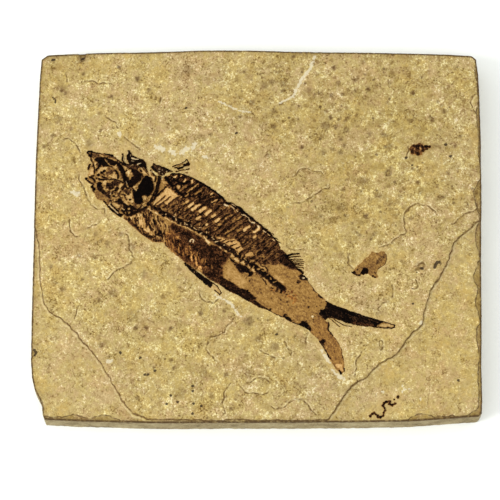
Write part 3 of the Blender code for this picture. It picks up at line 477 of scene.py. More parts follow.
SKULL_BASE = [
    (-3.8, 4.9), (-3.2, 5.6), (-2.2, 5.7), (-0.8, 6.5), (0.4, 7), (2.3, 7.7), (4, 7.5), (6, 7.5), (7, 8),
    (8.6, 8.9), (10.2, 9.2), (12.7, 9), (13.3, 9.4), (15.2, 9.1), (16, 8), (16.9, 6.4), (17.2, 4), (17, 1),
    (16, -0.8), (14.9, -2.4), (14.2, -4.2), (13.4, -4.2), (12.2, -5), (10, -4.6), (7.4, -4.1), (5.4, -4.3),
    (4.4, -3.8), (3.7, -2.6), (2.6, -2.1), (1.2, -1.6), (0.2, -1.2), (-0.2, 0.2), (-0.5, 1.4), (-1, 2.9),
    (-2, 3.9), (-3, 4.3),
]
SKULL_AREAS = [
    (0.62, [(-2.4, 4.6), (-2, 5.5), (-1, 5.9), (-0.2, 5.5), (-0.6, 4.6), (-1.4, 4.3)]),
    (0.98, [(-1.2, 4.2), (-0.7, 5), (0.4, 5.9), (1.4, 6.4), (3, 6.5), (4.6, 7), (4.8, 6.2), (4.3, 5.5),
            (4, 4.9), (3.2, 4.5), (2.6, 4.1), (1.4, 3.9), (0, 4), (-0.6, 3.8)]),
    (0.96, [(4.4, 7.4), (5.6, 7.4), (7, 7.5), (8, 7.9), (9.2, 8.1), (9.6, 7.4), (8, 7), (6.2, 6.8),
            (4.8, 6.9)]),
    (0.9, [(-1.6, 2.5), (-1.1, 2.6), (-0.7, 1.6), (-0.6, 0.8), (-1, 0.7), (-1.4, 1.4)]),
    (0.96, [(-1.2, 4.2), (-0.5, 4.9), (0.2, 5.3), (1, 6.1), (2.3, 6.4), (4, 6.8), (4.7, 6.5), (4.5, 5.9),
            (4.1, 5.3), (3.9, 5), (3, 4.9), (2.6, 4.2), (2.1, 3.7), (1.4, 3.9), (1.1, 3.4), (0.7, 3.7),
            (0, 4), (-0.6, 3.8)]),
    (0.96, [(4.6, 6.9), (6.2, 6.6), (7.6, 5.8), (8.6, 4.6), (9, 3.6), (8.2, 3.5), (7.4, 4.3), (6.4, 5.2),
            (5.2, 5.9), (4.6, 6.1)]),
    (0.66, [(3.5, 4.2), (4.4, 4.5), (5, 4.4), (5.3, 3.6), (4.8, 3), (4, 2.5), (3.4, 3), (3.8, 3.6)]),
    (0.8, [(6.1, 1.8), (6.6, 2.5), (8, 2.5), (8.1, 1.5), (7.5, 1), (7.4, 0.1), (6.8, -0.6), (5.9, -0.7),
           (5.3, 0.2), (5.4, 0.8), (6.1, 1)]),
    (0.92, [(3.2, -0.2), (3.6, 0), (4.1, -0.2), (4.3, -0.8), (5.1, -0.9), (5.4, -1.4), (6.4, -1.6),
            (6.9, -1.9), (6.5, -2.2), (5, -2.1), (4, -2), (3.5, -1.6), (3.2, -1)]),
    (0.78, [(6.4, -1), (7.2, -0.7), (7.8, -1.2), (8.1, -2), (7.6, -2.6), (6.8, -2.3), (6.6, -1.7)]),
    (0.46, [(3.9, -2.3), (6.2, -2.4), (8.6, -2.5), (8.5, -3.4), (7, -4.1), (5.5, -4.3), (4.5, -3.8)]),
    (0.9, [(4.2, -1.5), (6, -1.5), (8, -2), (8.2, -2.6), (6.4, -2.5), (4.4, -2.2)]),
    (0.95, [(8.4, 7.7), (9.6, 7.9), (10.8, 7.6), (11.6, 7.3), (12.1, 6.2), (11.9, 5), (11.9, 3.9),
            (11.3, 3.2), (10.7, 2.7), (10, 3.2), (9.2, 3.4), (8.6, 3.5), (8.2, 4.3), (8.8, 4.9), (9.6, 5),
            (9.9, 6), (9, 6.8), (7.8, 7.1)]),
    (0.74, [(6.6, 7.3), (7.3, 8.2), (8.2, 8.9), (9.4, 9.2), (10, 8.6), (9.6, 7.8), (8.6, 7.3), (7.6, 7.1)]),
    (0.88, [(10.2, 8.5), (10.8, 8.4), (11.6, 8.6), (11.4, 8), (10.7, 7.9)]),
    (0.8, [(9, 2.9), (9.7, 2.4), (9.9, 1.5), (9.5, 0.7), (9.1, 1.6)]),
    (0.8, [(9.8, 1.2), (10.4, 2), (11.3, 2.2), (11.8, 1.7), (11.6, 0.9), (10.6, 1)]),
    (0.95, [(10, -1.3), (11, -1), (11.8, -1.4), (12, -2.2), (11, -2.2), (9.9, -2.5), (10.2, -1.8)]),
    (0.94, [(12, -1.3), (13.2, -1.5), (14.4, -0.9), (15.5, -1), (15.2, -2.4), (14.2, -2.8), (13.4, -3.9),
            (12.3, -3.9), (12.5, -2.6), (11.9, -2)]),
    (0.55, [(13.2, -0.3), (14.6, 0), (16, -0.6), (15.2, -0.9), (14.2, -0.8)]),
    (0.98, [(12.2, -4.6), (13.1, -4.3), (13.7, -4.1), (13.3, -5.1), (12.3, -5.2)]),
    (0.75, [(12.2, 0.3), (13, 0.4), (13, -0.4), (12.4, -0.3)]),
    (0.9, [(11.2, 3.2), (12.4, 3), (13, 2.4), (12.4, 1.9), (11.8, 2.5)]),
]
SKULL_BARS = [
    (0.9, 0.32, [(-2.3, 5.5), (-1.4, 6.1), (-0.7, 6.4)]), (1, 0.42, [(0.3, 6.8), (1.2, 7.15), (2.3, 7.6)]),
    (0.6, 0.3, [(-0.6, 6.3), (0.6, 6.5), (2, 7)]), (1, 0.45, [(-3.8, 4.8), (-3, 4.35), (-2.1, 4.3)]),
    (1, 0.42, [(-3.7, 5.2), (-3.1, 5.6), (-2.6, 5.5)]), (0.96, 0.4, [(-2.7, 5.3), (-2.4, 4.7)]),
    (0.98, 0.46, [(0.8, 4), (1, 3), (0.95, 2.1)]), (0.8, 0.28, [(2.6, 7.5), (4.4, 7.35)]),
    (0.85, 0.32, [(-2, 3.9), (-1.3, 3.3), (-0.6, 2.9), (0.1, 2.3), (0.7, 1.5), (1, 1)]),
    (0.98, 0.5, [(4.9, 6.4), (6, 6.2), (7, 5.7), (7.7, 5), (8.3, 4.2), (8.7, 3.4)]),
    (0.9, 0.34, [(5.4, 5.7), (6.3, 5.4), (7.1, 4.8), (7.8, 4)]),
    (0.98, 0.4, [(5, 4.6), (5.9, 4.3), (7, 3.4)]),
    (0.95, 0.28, [(3.1, 0.2), (4, 0.9), (5, 1.6), (6, 2.3), (7, 2.8), (8.7, 2.9)]),
    (0.85, 0.4, [(8.1, 1), (8.4, 0.3), (7.8, -0.5), (8, -1.1)]), (0.8, 0.35, [(5.3, 0.6), (5.7, -0.3)]),
    (0.75, 0.25, [(8.4, -0.5), (9, -0.2), (9.6, -0.6), (9.3, -1.3), (8.5, -1.5)]),
    (0.98, 0.34, [(7.4, -4), (10, -4.7), (12.2, -5), (13.2, -4.9)]), (0.97, 0.36, [(9.2, -3.7), (12, -4.2)]),
    (1, 0.62, [(2.4, -2.3), (3.3, -2.6)]), (0.8, 0.28, [(3.3, -3.1), (3.9, -3.3)]),
    (0.95, 0.38, [(0.6, -0.6), (1.4, -0.5), (2, -0.6), (2.6, -0.9)]),
    (0.85, 0.3, [(0.6, -1.5), (1.6, -1.7), (2.5, -1.6)]),
    (0.98, 0.36, [(4.6, 9.1), (5.1, 8.2), (5.9, 7.65), (7.1, 7.6)]),
    (0.85, 0.3, [(12.9, 9.8), (13.8, 9.3), (14.8, 9), (15.2, 8.6)]), (0.9, 0.35, [(15.3, 8.6), (15.5, 7.8)]),
    (0.8, 0.3, [(9.4, 0.6), (9.6, -0.6), (10.3, -1)]), (0.9, 0.34, [(13, -2.4), (14.2, -3.4), (15, -3.6)]),
    (0.98, 0.55, [(17.5, 0.6), (16.9, -0.6), (15.9, -2.1), (15.2, -3.3)]),
    (0.9, 0.3, [(16.4, 0.2), (16.1, -0.8), (15.2, -1.8)]), (0.9, 0.3, [(14.9, -2.2), (14.8, -3.8)]),
    (0.95, 0.34, [(13.4, -3.9), (14.8, -3.9)]), (0.9, 0.3, [(10.2, 0.1), (10.9, 0.4), (11.3, -0.2)]),
    (0.9, 0.3, [(9.2, 3.4), (9.5, 2.6), (10.2, 2.3), (10.9, 2.6)]),
    (0.7, 0.25, [(9.6, -2.9), (10.6, -2.4), (11.8, -2.3), (11.9, -3.6)]),
    (0.7, 0.3, [(10.4, 0.4), (12, -0.4)]), (0.85, 0.35, [(11.5, 7.5), (12.2, 6.9)]),
    (0.75, 0.25, [(8.8, -2.6), (9, -3.2)]), (0.8, 0.25, [(10.2, 9.1), (11.5, 8.9), (12.4, 8.6), (13.2, 8.4)]),
]
SKULL_GAPS = [
    (0.1, [(1.4, 3.4), (2.3, 3.5), (2.6, 2.8), (2.3, 1.8), (1.7, 1.3), (1.4, 2.2)]),
    (0.08, [(3.4, 5.1), (4.2, 5), (4.7, 5.6), (4.9, 6.4), (4.5, 6.1), (4.2, 5.4)]),
    (0.12, [(5.1, 3.9), (5.8, 3.8), (7, 3.1), (7.8, 3.4), (8.2, 3.1), (7, 2.9), (5.6, 2.5), (4.6, 2.6),
            (5.4, 3.2)]),
    (0.1, [(4, 0.3), (4.6, 1), (5.3, 0.9), (5.2, -0.1), (4.8, -0.4), (4.3, -0.3)]),
    (0.3, [(8.8, 5.7), (9.2, 6.1), (9.7, 5.6), (10, 4.8), (9.8, 4.3), (9.4, 4.6), (9.2, 5.2)]),
    (0.1, [(11, 0.1), (11.6, 1), (12, 1.7), (12.5, 1.7), (13.2, 0.8), (13.8, 0), (13.5, -0.4), (12, -0.5)]),
    (0.14, [(9.8, -3), (10.7, -2.5), (11.6, -2.5), (11.6, -3.4), (10.4, -3.5)]),
    (0.05, [(11.7, 3.4), (11.6, 3.9), (12.1, 4), (12.1, 3.4)]), (0, [(12.3, 3), (12.5, 3.4), (12.9, 3.1)]),
    (0.05, [(12.2, 4.9), (12.3, 5.8), (12.6, 5.7), (12.5, 4.8)]),
    (0.14, [(1, 5.6), (1.4, 5.7), (2.3, 5.45), (3.4, 5.15), (3.7, 4.9), (3.2, 4.8), (2.2, 5.15),
            (1.3, 5.35)]),
    (0.05, [(7.8, 5.9), (8, 6.5), (8.6, 6.5), (8.9, 6), (8.3, 5.6)]),
    (0.1, [(13.6, -2.2), (14, -1.8), (14.3, -2.2), (13.9, -2.6)]),
    (0.1, [(12.5, -2.8), (13.2, -2.8), (13.1, -3.2), (12.5, -3.1)]),
    (0.08, [(10.6, 8.7), (13, 8.9), (14.6, 8.4), (16, 7.2), (16.8, 5.8), (16.9, 4.4), (16.6, 6),
            (15.8, 7.2), (14.2, 8.2), (12.6, 8.2), (11.8, 7.9)]),
    (0.12, [(0, 3), (0.6, 2.6), (0.8, 1.6), (1.2, 0.8), (0.8, 0.2), (0.1, 0.4), (-0.3, 1.8)]),
    (0.12, [(15.1, 3.2), (16.1, 3.1), (16.3, 2.2), (15.6, 2), (14.8, 2.3)]),
    (0.06, [(8.4, 2.5), (8.9, 2.4), (9, 1.2), (8.6, 0.6), (8.3, 1.4)]),
    (0.1, [(13.8, -3.5), (14.6, -3), (14.7, -3.7), (14, -4)]),
]
# painted highlights on the glossy skull bones: width, line
SKULL_HIGHLIGHTS = [
    (0.5, [(7, 9.8), (7.8, 10), (8.5, 10.4)]), (0.26, [(4.95, 9.1), (5.4, 8.4), (6.1, 8)]),
    (0.3, [(-3.35, 4.85), (-3.2, 4.85)]), (0.26, [(16.6, 0.35), (16.75, 0.1)]),
    (0.4, [(4.7, 10.5), (5.1, 10.2)]), (0.3, [(8.2, 6.2), (8.6, 6.1)]), (0.22, [(6.2, 10.3), (6.4, 9.9)]),
    (0.24, [(9.1, 9.3), (9.7, 9.8)]), (0.3, [(9, -4.1), (10.6, -4.4), (12.2, -4.7)]),
    (0.25, [(12.2, -2.9), (13, -3)]), (0.28, [(7.4, 9.2), (7.8, 9.3)]), (0.25, [(5, 10.6), (5.2, 10.2)]),
    (0.2, [(8, 7.9), (8.3, 8.3)]), (0.25, [(7.6, -1.2), (7.7, -1.6)]), (0.3, [(16.3, 9.6), (16.7, 9.3)]),
    (0.25, [(13.2, 9.7), (13.6, 9.4)]), (0.22, [(9.2, 3.6), (9.8, 3.2)]), (0.2, [(8.9, -3.5), (9.1, -3.9)]),
    (0.2, [(10.3, 8.9), (10.9, 8.8)]),
]
SKULL_DOTS = [
    (0.98, 0.38, [(2.8, 2.9), (2.1, 1.2), (2.5, 2.2), (0, -1.4)]),
    (0.9, 0.24, [(4.35, 9.4), (5.3, 8.6), (2.2, 0.2)]),
    (0.9, 0.26, [(3.2, 1.4), (2.9, 0.4), (1.2, 0.2), (9.3, 4), (3.2, 2.2), (6.6, 0.1), (1, -0.3),
                 (8.6, -2.9)]),
    (0.95, 0.3, [(8.5, 0.9), (8.3, 0.2), (12.8, 0.2), (8.7, -1.4), (11.6, 1), (13.7, -1.2)]),
]
BROW = [
    (4.7, 10.8), (5.2, 11.2), (5.9, 10.9), (6.5, 10.5), (7.2, 10.7), (8.2, 10.8), (9, 11), (9.9, 11),
    (10.8, 10.6), (11.6, 9.9), (12.4, 9.2), (12.7, 8.9), (11.6, 9.2), (10.6, 9.2), (9.8, 8.9), (9.2, 9.3),
    (8.6, 8.9), (8, 8), (7.3, 7.9), (6.6, 8.4), (5.9, 8.9), (5.3, 9.7), (5.1, 10.4),
]
GILL_COVER = [
    (12.6, 7.7), (13.2, 8), (14, 7.9), (15, 7.3), (16, 6.5), (16.6, 5.5), (16.6, 4.2), (16.2, 3.3),
    (15.3, 3.2), (14.8, 2.4), (15.5, 2), (16.2, 1.2), (15.8, 0.3), (15, -0.2), (14, 0.3), (13.1, 1.2),
    (12.5, 1.8), (12.9, 3), (12.8, 4), (12.6, 5), (12.4, 6.5),
]
NAPE_PLATE = [
    (12.6, 11.5), (13.4, 11.8), (14.6, 12.1), (16, 12.4), (17.7, 12.6), (17.2, 11.8), (16.5, 11.2),
    (16.6, 10.4), (15.6, 9.9), (14, 10.2), (12.9, 10.1), (12.5, 10.7),
]
LOOSE_BONE_BARS = [
    (0.9, 0.3, [(17.1, 13.6), (18.3, 15.3), (19.1, 16.6), (19.25, 17.4)]),
    (0.9, 0.32, [(18.6, 13.2), (19.6, 14), (20.6, 15)]), (0.96, 0.6, [(18.6, 14.1), (19.4, 14.9)]),
    (0.96, 0.8, [(19.5, 15.6), (20.3, 16.6)]), (0.9, 0.4, [(17.8, 13.7), (18.2, 14.1)]),
    (0.85, 0.35, [(20.6, 15), (21.1, 15.5)]), (0.9, 0.3, [(19.3, 17.3), (20.2, 17), (20.6, 16.4)]),
    (0.5, 0.3, [(20.9, 14.2), (21.4, 14.4)]), (0.35, 0.5, [(18.2, 14.6), (18.9, 15.6)]),
]
FIN_RAYS = [
    (BLACK, 0.42, [(55.1, 9.4), (56.2, 10.8), (57.6, 11.8)]),
    (0.95, 0.26, [(55.6, 9.2), (57, 10.5), (58.3, 11.5)]),
    (0.95, 0.24, [(56.2, 8.9), (57.5, 10.2), (59.3, 11)]),
    (0.95, 0.24, [(56.8, 8.8), (58, 9.8), (59.8, 10.7)]),
    (0.95, 0.24, [(57.4, 8.7), (58.8, 9.6), (60, 10.2)]), (0.92, 0.24, [(58, 8.6), (59.2, 9.3), (60.3, 9.7)]),
    (0.92, 0.24, [(58.6, 8.4), (59.8, 8.9), (60.8, 9.2)]), (0.95, 0.3, [(59.5, 8.2), (61.2, 8.4)]),
]
FIN_BASE = [(55, 9.5), (56.2, 9), (58, 8.5), (60, 8.1), (61.2, 8)]
UPPER_LOBE = [
    (70.5, 5), (71.5, 4.9), (73.5, 5.2), (78, 6.4), (82, 7.4), (84.4, 8.1), (86, 8.5), (85.4, 7.6),
    (84.8, 6.6), (85.1, 6), (84, 5.6), (82, 4.6), (80, 3.7), (78, 3), (76, 2.6), (74.4, 2.2), (73.2, 1.6),
    (73, 0.7), (71.6, 0.8), (70.5, 1), (70.4, 2.3), (70.9, 2.7), (71.1, 3.4), (70.9, 4.3),
]
UPPER_TIP = [(84.4, 8), (86, 8.6), (88.7, 9.4), (89, 8.9), (88.5, 8.3), (87.2, 7.3), (85.6, 6.4), (84.6, 6.4)]
LOWER_LOBE = [
    (70.4, 0.9), (72, 0.7), (74, 0.5), (74.5, -0.3), (75, -1.2), (76.5, -1.6), (78, -2), (79.5, -2.7),
    (81, -4), (82.5, -5.6), (83.5, -6.8), (84.2, -7.9), (84.3, -8.8), (84, -9.4), (83, -9), (80.5, -8.2),
    (79, -7.2), (77.5, -6.2), (76, -5.3), (74.7, -4.8), (73, -4.3), (71.3, -4), (70.6, -1.4),
]
TAIL_BARS = [
    (0.9, 0.3, [(84.6, 8.1), (86.6, 8.7), (88.7, 9.3), (89, 8.8), (88.3, 8.1), (86.6, 7.1), (85, 6.2)]),
    (0.95, 0.3, [(70.5, 4.95), (72, 4.95), (78, 6.35), (84.6, 8.1)]),
    (0.92, 0.25, [(73, 1.6), (74.6, 1.5), (76.8, 1.2)]),
    (0.85, 0.25, [(73.8, 2.1), (76.6, 2), (78.6, 2.5), (79.6, 2.8)]),
    (0.92, 0.4, [(73.9, 0.6), (74.4, 0.1), (74.7, -0.8)]),
    (0.92, 0.28, [(74.7, -0.8), (75.2, -1.3), (76.8, -1.6)]),
    (0.9, 0.28, [(74.6, -4.75), (78, -6.5), (79.6, -7.3)]),
    (0.85, 0.2, [(80.2, -3.3), (81.4, -4.5), (82.4, -5.5)]), (0.92, 0.3, [(83.9, -7.3), (84.2, -8)]),
    (0.95, 0.45, [(83.1, -8.7), (84, -9.2)]), (0.5, 0.16, [(71.3, -3.95), (74.6, -4.75)]),
    (0.55, 0.14, [(76.8, -1.6), (79.4, -2.7)]), (0.5, 0.15, [(79.6, -7.3), (82, -8.7)]),
    (0.25, 0.22, [(73.4, 1.5), (74.2, 1.45)]),
]
TAIL_BLOTS = [
    (0.92, [(74.7, -4.7), (75.1, -4), (75.5, -3.8), (76, -4.2), (75.9, -4.8), (76.6, -5.3)]),
    (0.16, [(85.4, 7), (86.2, 8.1), (88.4, 9), (88.4, 8.6), (87, 7.6), (85.9, 7.1)]),
    (0.12, [(82.8, -6.8), (83.8, -7.9), (84, -8.6), (82.8, -8.3), (81.6, -8.1), (81.4, -7.6)]),
]
PELVIC_FIN = [
    (34, -6.2), (37, -6.3), (43.2, -6.9), (43.4, -8.2), (40, -7.9), (37, -7.4), (34.2, -6.8),
]
PELVIC_BARS = [
    (0.9, 0.28, [(43, -6.9), (44.6, -6.9), (46.5, -7.8)]),
    (0.9, 0.3, [(46.5, -7.7), (46.4, -8.5), (44.6, -8.2)]),
    (BLACK, 0.3, [(34, -6.5), (36, -7.1), (40, -7.8), (43.2, -8.2)]),
    (0.6, 0.35, [(34.6, -5.6), (36, -5.9), (37.4, -5.8)]),
]

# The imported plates' outlines say which bone plate a spot of the canvas belongs to
PLATES = {
    "skull": [
        (-3.2, 4.8), (-2.2, 5.6), (-0.8, 6.5), (2.3, 7.6), (4.1, 7.9), (4.3, 8.8), (4.2, 10.8), (5.3, 11.3),
        (6.6, 10.9), (8.8, 11), (10.2, 11.1), (11.3, 10.4), (12.6, 9.1), (12, 8), (11.9, 6.4), (12.2, 4.9),
        (12.4, 3.4), (12.2, 2), (12.6, 1), (13.7, -0.1), (14.7, -0.6), (14.6, -1.7), (14.1, -3),
        (13.9, -4.4), (13.1, -5.3), (10, -5), (7.4, -4.4), (5.2, -4.2), (3, -3.1), (1.4, -2.1), (0, -1.8),
        (-0.4, -0.6), (-1, 0.9), (-1.8, 2.2), (-2.1, 4),
    ],
    "gill_cover": [
        (12.6, 7.7), (13.2, 8), (14, 7.9), (15, 7.3), (16, 6.5), (16.6, 5.5), (16.6, 4.2), (16.2, 3.2),
        (15.6, 2.3), (16.1, 1.3), (15.6, 0.3), (14.8, -0.2), (14, 0.3), (13.1, 1.2), (12.7, 2.2),
        (12.8, 3.4), (12.7, 4.6), (12.4, 5.6), (12.3, 6.6),
    ],
    "trunk": [
        (13.2, 9.7), (13.6, 8.6), (15.2, 7.8), (16.4, 6.8), (17, 5.6), (17, 4), (16.3, 2.5), (16.5, 1.2),
        (16, 0), (15.1, -0.8), (15, -2), (14.4, -3.4), (14.2, -4.8), (17, -5.3), (20, -5.9), (24, -6),
        (26.6, -5.2), (29, -5.6), (33, -6), (39, -5.8), (44, -6.2), (47.5, -6.5), (52, -6), (57.5, -5.5),
        (63, -4.9), (68, -4.2), (70.6, -3.9), (70.2, -1.4), (69.6, 0.6), (69.9, 2.6), (69.9, 5),
        (66.3, 5.9), (61, 7.7), (55, 9.5), (52.8, 10.4), (50, 12), (45, 13.1), (38, 14), (30, 14.4),
        (23, 14.1), (20, 13.3), (18, 11.9), (17, 10.2), (15.6, 9.8),
    ],
    "dorsal_fin": [
        (55.1, 9.8), (56, 10.9), (57.5, 12.1), (58.5, 11.7), (59.5, 11.1), (60.2, 10.4), (60.7, 9.5),
        (61.4, 8.4), (61.2, 8), (58, 9),
    ],
    "upper_tail_lobe": [
        (70.2, 5), (71.5, 4.9), (73.5, 5.2), (78, 6.3), (82, 7.3), (86, 8.5), (88.8, 9.4), (89.1, 8.9),
        (88.6, 8.2), (87.2, 7.4), (85, 6.3), (82, 4.9), (80, 4), (78, 3), (76, 2.4), (74, 2), (72.8, 0.9),
        (70.4, 1), (70.2, 2.8),
    ],
    "lower_tail_lobe": [
        (70, 0.5), (72, 0.5), (74, 0.4), (75, -1.2), (76.5, -1.6), (78, -2), (79.5, -2.7), (81, -4),
        (82.5, -5.6), (83.5, -6.8), (84.3, -8), (84.4, -9), (83.9, -9.6), (83, -9.1), (80.5, -8.2),
        (77.5, -6.2), (74.7, -4.8), (73, -4.3), (71, -3.9), (70.6, -1.4),
    ],
    "pelvic_fin": [
        (34, -6.5), (37, -6.9), (43, -7.2), (46.6, -7.9), (46.4, -8.7), (43.2, -8.3), (40, -8), (37, -7.5),
        (34.2, -7.1),
    ],
    "nape_plate": [
        (12.7, 11.6), (14, 12.1), (16, 12.5), (17.5, 12.7), (17.1, 11.6), (16.4, 10.7), (15.6, 10.2),
        (14, 10.1), (13, 10.1), (12.5, 10.7),
    ],
    "loose_bone": [
        (17, 13.6), (17.7, 14.7), (18.5, 15.8), (19.1, 17.3), (19.8, 17.1), (20.6, 16.8), (20.8, 15.9),
        (21.1, 15.3), (21.3, 14.4), (20.4, 14.2), (19.4, 13.5), (18.5, 13), (17.9, 13.8),
    ],
}
UNDER_BACK_SPLINTERS = [  # dark splinters across the gap under the back: place, length
    (39.4, 4.2, 0.5), (40.6, 4.6, 0.7), (42.2, 4.6, 0.9), (43.6, 4.7, 0.6), (41.4, 5.3, 0.5),
    (38.4, 3.9, 0.3),
]
RIB_GLINT = [(32.1, -0.9), (32, -0.3), (32.4, 0.05), (32.8, -0.1), (32.9, -0.6)]
SEAM = [(18, 0.6), (22, 0.8), (23, 1.1), (25.5, 1.2), (29, 1.7), (31.5, 2), (34.2, 2.2)]
SEAM_END = [(34.2, 2.5), (34.9, 2.2), (36.7, 1.9), (36.5, 1.1), (35.4, 1.5), (34.2, 2.1)]
CHAIN_GLINTS = [  # chips of calcite on the backbone: place, half their length
    (22.3, 1.5, 0.2), (25.7, 2.2, 0.26), (27.5, 2.1, 0.26), (28.5, 2.4, 0.2), (30.1, 2.9, 0.26),
    (31.6, 2.8, 0.3), (33.3, 2.7, 0.26), (34.4, 3.5, 0.3), (32.3, 3.7, 0.3), (28.9, 3.6, 0.22),
    (38, 2.9, 0.34), (41.7, 2.9, 0.26), (43.6, 2.8, 0.22), (37, 3, 0.2), (56.2, 1.8, 0.2),
    (24.8, 3.4, 0.22), (46.9, 2.9, 0.16),
]
CHAIN_KNOTS = [
    (19.5, 1.8), (21.3, 1.3), (22.5, 1.2), (25.2, 1.8), (27, 1.7), (34.4, 2.9), (35.8, 2.7), (32.7, 2.7),
    (29.3, 3.2),
]
REAR_CHIPS = [  # ragged pale patches under the rear vertebrae: place, width, height
    (41.5, 2, 1, 0.4), (43.5, 1.9, 1.1, 0.5), (45.2, 1.6, 1.2, 0.8), (46.9, 1.8, 1.2, 0.9),
    (50.3, 1.7, 1.2, 0.7), (53.8, 1.2, 1.4, 0.4), (48.9, 1.8, 0.6, 0.4),
]
STALK_PALE = [(55.2, 3), (55.6, 3.8), (57.6, 3.8), (58.6, 3), (57.4, 2.6)]
STALK_FRONT = [(43.4, 0.4), (46, -0.6), (48, -1.2), (51, -2), (50, -4), (45, -4), (43.6, -2.2)]
NAPE_KEEL = [(25.3, 13.9), (28, 14.1), (31, 14), (33.4, 13.4)]
BACK_KEEL = [(34.5, 13), (35.4, 13.6), (37, 13.75), (38.6, 13.8), (40.6, 13.3)]
REAR_KEEL = [(38.6, 13.2), (41, 13.2), (43.6, 13)]
BACK_END = [(52.8, 9.9), (54, 10.1), (55.2, 9.6), (54.6, 8.8), (53, 8.9)]
FIN_FOOT = [(54, 8.9), (55.2, 8.8), (57, 8.4), (59.3, 7.9), (58.4, 7.3), (56.5, 7.2), (54.4, 7.3)]
SCUTES = [
    [(43, 12.9), (45.4, 13.15)], [(44.7, 12.6), (47.4, 12.95)], [(46.2, 12.3), (49.4, 12.75)],
    [(47.8, 12.15), (51, 12.15)], [(49.9, 11.8), (52.2, 11.65)],
]
# painted highlights on the shoulder's black bones
SHOULDER_HIGHLIGHTS = [(17.3, 5.3), (16.9, 2.1), (17.6, 4), (18.2, 11.2), (19, 10.9), (20.6, 9.3)]
NAPE_RIM = [(12.6, 11.5), (14, 11.9), (16, 12.3), (17.7, 12.5)]
NAPE_FOOT = [(12.6, 10.6), (13.6, 10.2), (14.4, 10.2)]
NAPE_HIGHLIGHTS = [(14.6, 11.2), (15.4, 11.3), (16, 10.7), (16.7, 11.6), (15, 10.6), (16.4, 10.4)]
PELVIC_GAP = [(43.4, -7.1), (44.6, -7), (46.4, -7.8), (46.3, -8.3), (44.6, -8.1), (43.4, -8.1)]
PELVIC_HIGHLIGHTS = [(34.8, -6.3), (36.6, -6.6), (37.6, -7.1), (38.2, -6.8)]
LOBE_GLOW = [(79, 3.4), (80, 3.7), (82.4, 4.8), (84.6, 5.9), (84, 6.3), (81.5, 5.2), (79.4, 4.4)]
BONE_STREAKS = [  # the grain of crushed bone: area, lean, length, width, strength, seed, soft edge
    (BACK, SPINE_LEAN, 0.9, 0.2, 0.16, 131, 0.5), (BACK, SPINE_LEAN, 2.2, 0.4, 0.14, 132, 0.5),
    (BACK, 0, 0.3, 0.3, 0.1, 133, 0.5), (BELLY_FRONT, RIB_LEAN, 1.4, 0.3, 0.3, 134, 0.5),
    (GUT_RED, RIB_LEAN, 1.6, 0.4, 0.2, 135, 0.5), (GUT, 0.3, 1.2, 0.7, 0.08, 136, 0.5),
    (SKULL_BASE, 0.4, 0.5, 0.26, 0.2, 137, 0.3), (SKULL_BASE, 1.8, 0.8, 0.22, 0.2, 138, 0.3),
    (STALK, 0, 0.8, 0.4, 0.07, 139, 0.5), (LOWER_LOBE, -0.7, 2, 0.25, 0.07, 140, 0.5),
    (UPPER_LOBE, 0.25, 3, 0.25, 0.07, 141, 0.2),
]
BONE_SPLINTERS = [  # slivers of crushed bone: area, how many, lean, width, length, seed, tone
    (BACK, 170, SPINE_LEAN, 0.2, 1.6, 154, 0.96), (BACK, 170, SPINE_LEAN, 0.24, 1, 155, 0.36),
    (BACK, 50, 1.9, 0.2, 0.5, 156, 0.1), (BELLY_FRONT, 60, RIB_LEAN, 0.24, 1.3, 157, 0.92),
    (BELLY_FRONT, 60, RIB_LEAN, 0.26, 1.2, 158, 0.12), (GUT_RED, 50, RIB_LEAN, 0.2, 1.4, 159, 0.24),
    (GUT_RED, 30, RIB_LEAN, 0.2, 1, 160, 0.95), (GUT, 30, 0.3, 0.2, 0.6, 161, 0.5),
    (BELLY_BAND, 30, 0, 0.24, 0.9, 163, 0.95), (UPPER_LOBE, 60, -0.4, 0.16, 1.4, 164, 0.72),
    (STALK, 70, 0.1, 0.2, 0.5, 165, 0.5), (STALK, 90, 0.1, 0.3, 0.9, 166, 0.26),
]


def paint_body(fish):
    """Skin, the dark back, the gut and the belly."""
    fish.area(BODY_EDGE, tone=SKIN, red=0.3)
    fish.area(BACK, tone=0.68, red=0.45, soft=0.25)
    fish.area(NAPE_DARK, tone=0.84, soft=0.5)
    fish.area(BELLY_FRONT, tone=0.42, red=0.35, soft=0.2)
    fish.area(BELLY_BAND, tone=0.7, red=0.45, soft=0.2)
    fish.area(GUT_RED, tone=0.66, red=1.0, soft=0.5)
    fish.area(GUT, tone=0.82, red=0.8, soft=0.35)


def paint_ribs(fish):
    """Long ribs over the belly's front, and what shows between and behind them."""
    dice = np.random.default_rng(8)
    step_s, step_t = math.cos(RIB_LEAN), math.sin(RIB_LEAN)
    for s in np.arange(17.4, 25.6, 1.9):
        root_t = 0.3 - 0.12 * abs(s - 20.0)
        length = dice.uniform(4.2, 6.0)
        points = [(s + step_s * r, root_t + step_t * r) for r in (0.0, length / 2.0, length)]
        points[1] = (points[1][0] + 0.25, points[1][1] + 0.2)
        fish.mark(points, 0.38, tip=0.24, tone=dice.uniform(0.7, 0.86), swell=0.06)
    paint_areas(fish, BELLY_GAPS, cover=False)
    paint_strokes(fish, BELLY_STREAKS, cover=False)
    paint_strokes(fish, FRONT_RIBS, red=0.5, cover=False)
    fish.mark(RIB_GLINT, 0.3, tone=0.0, pale=0.8)


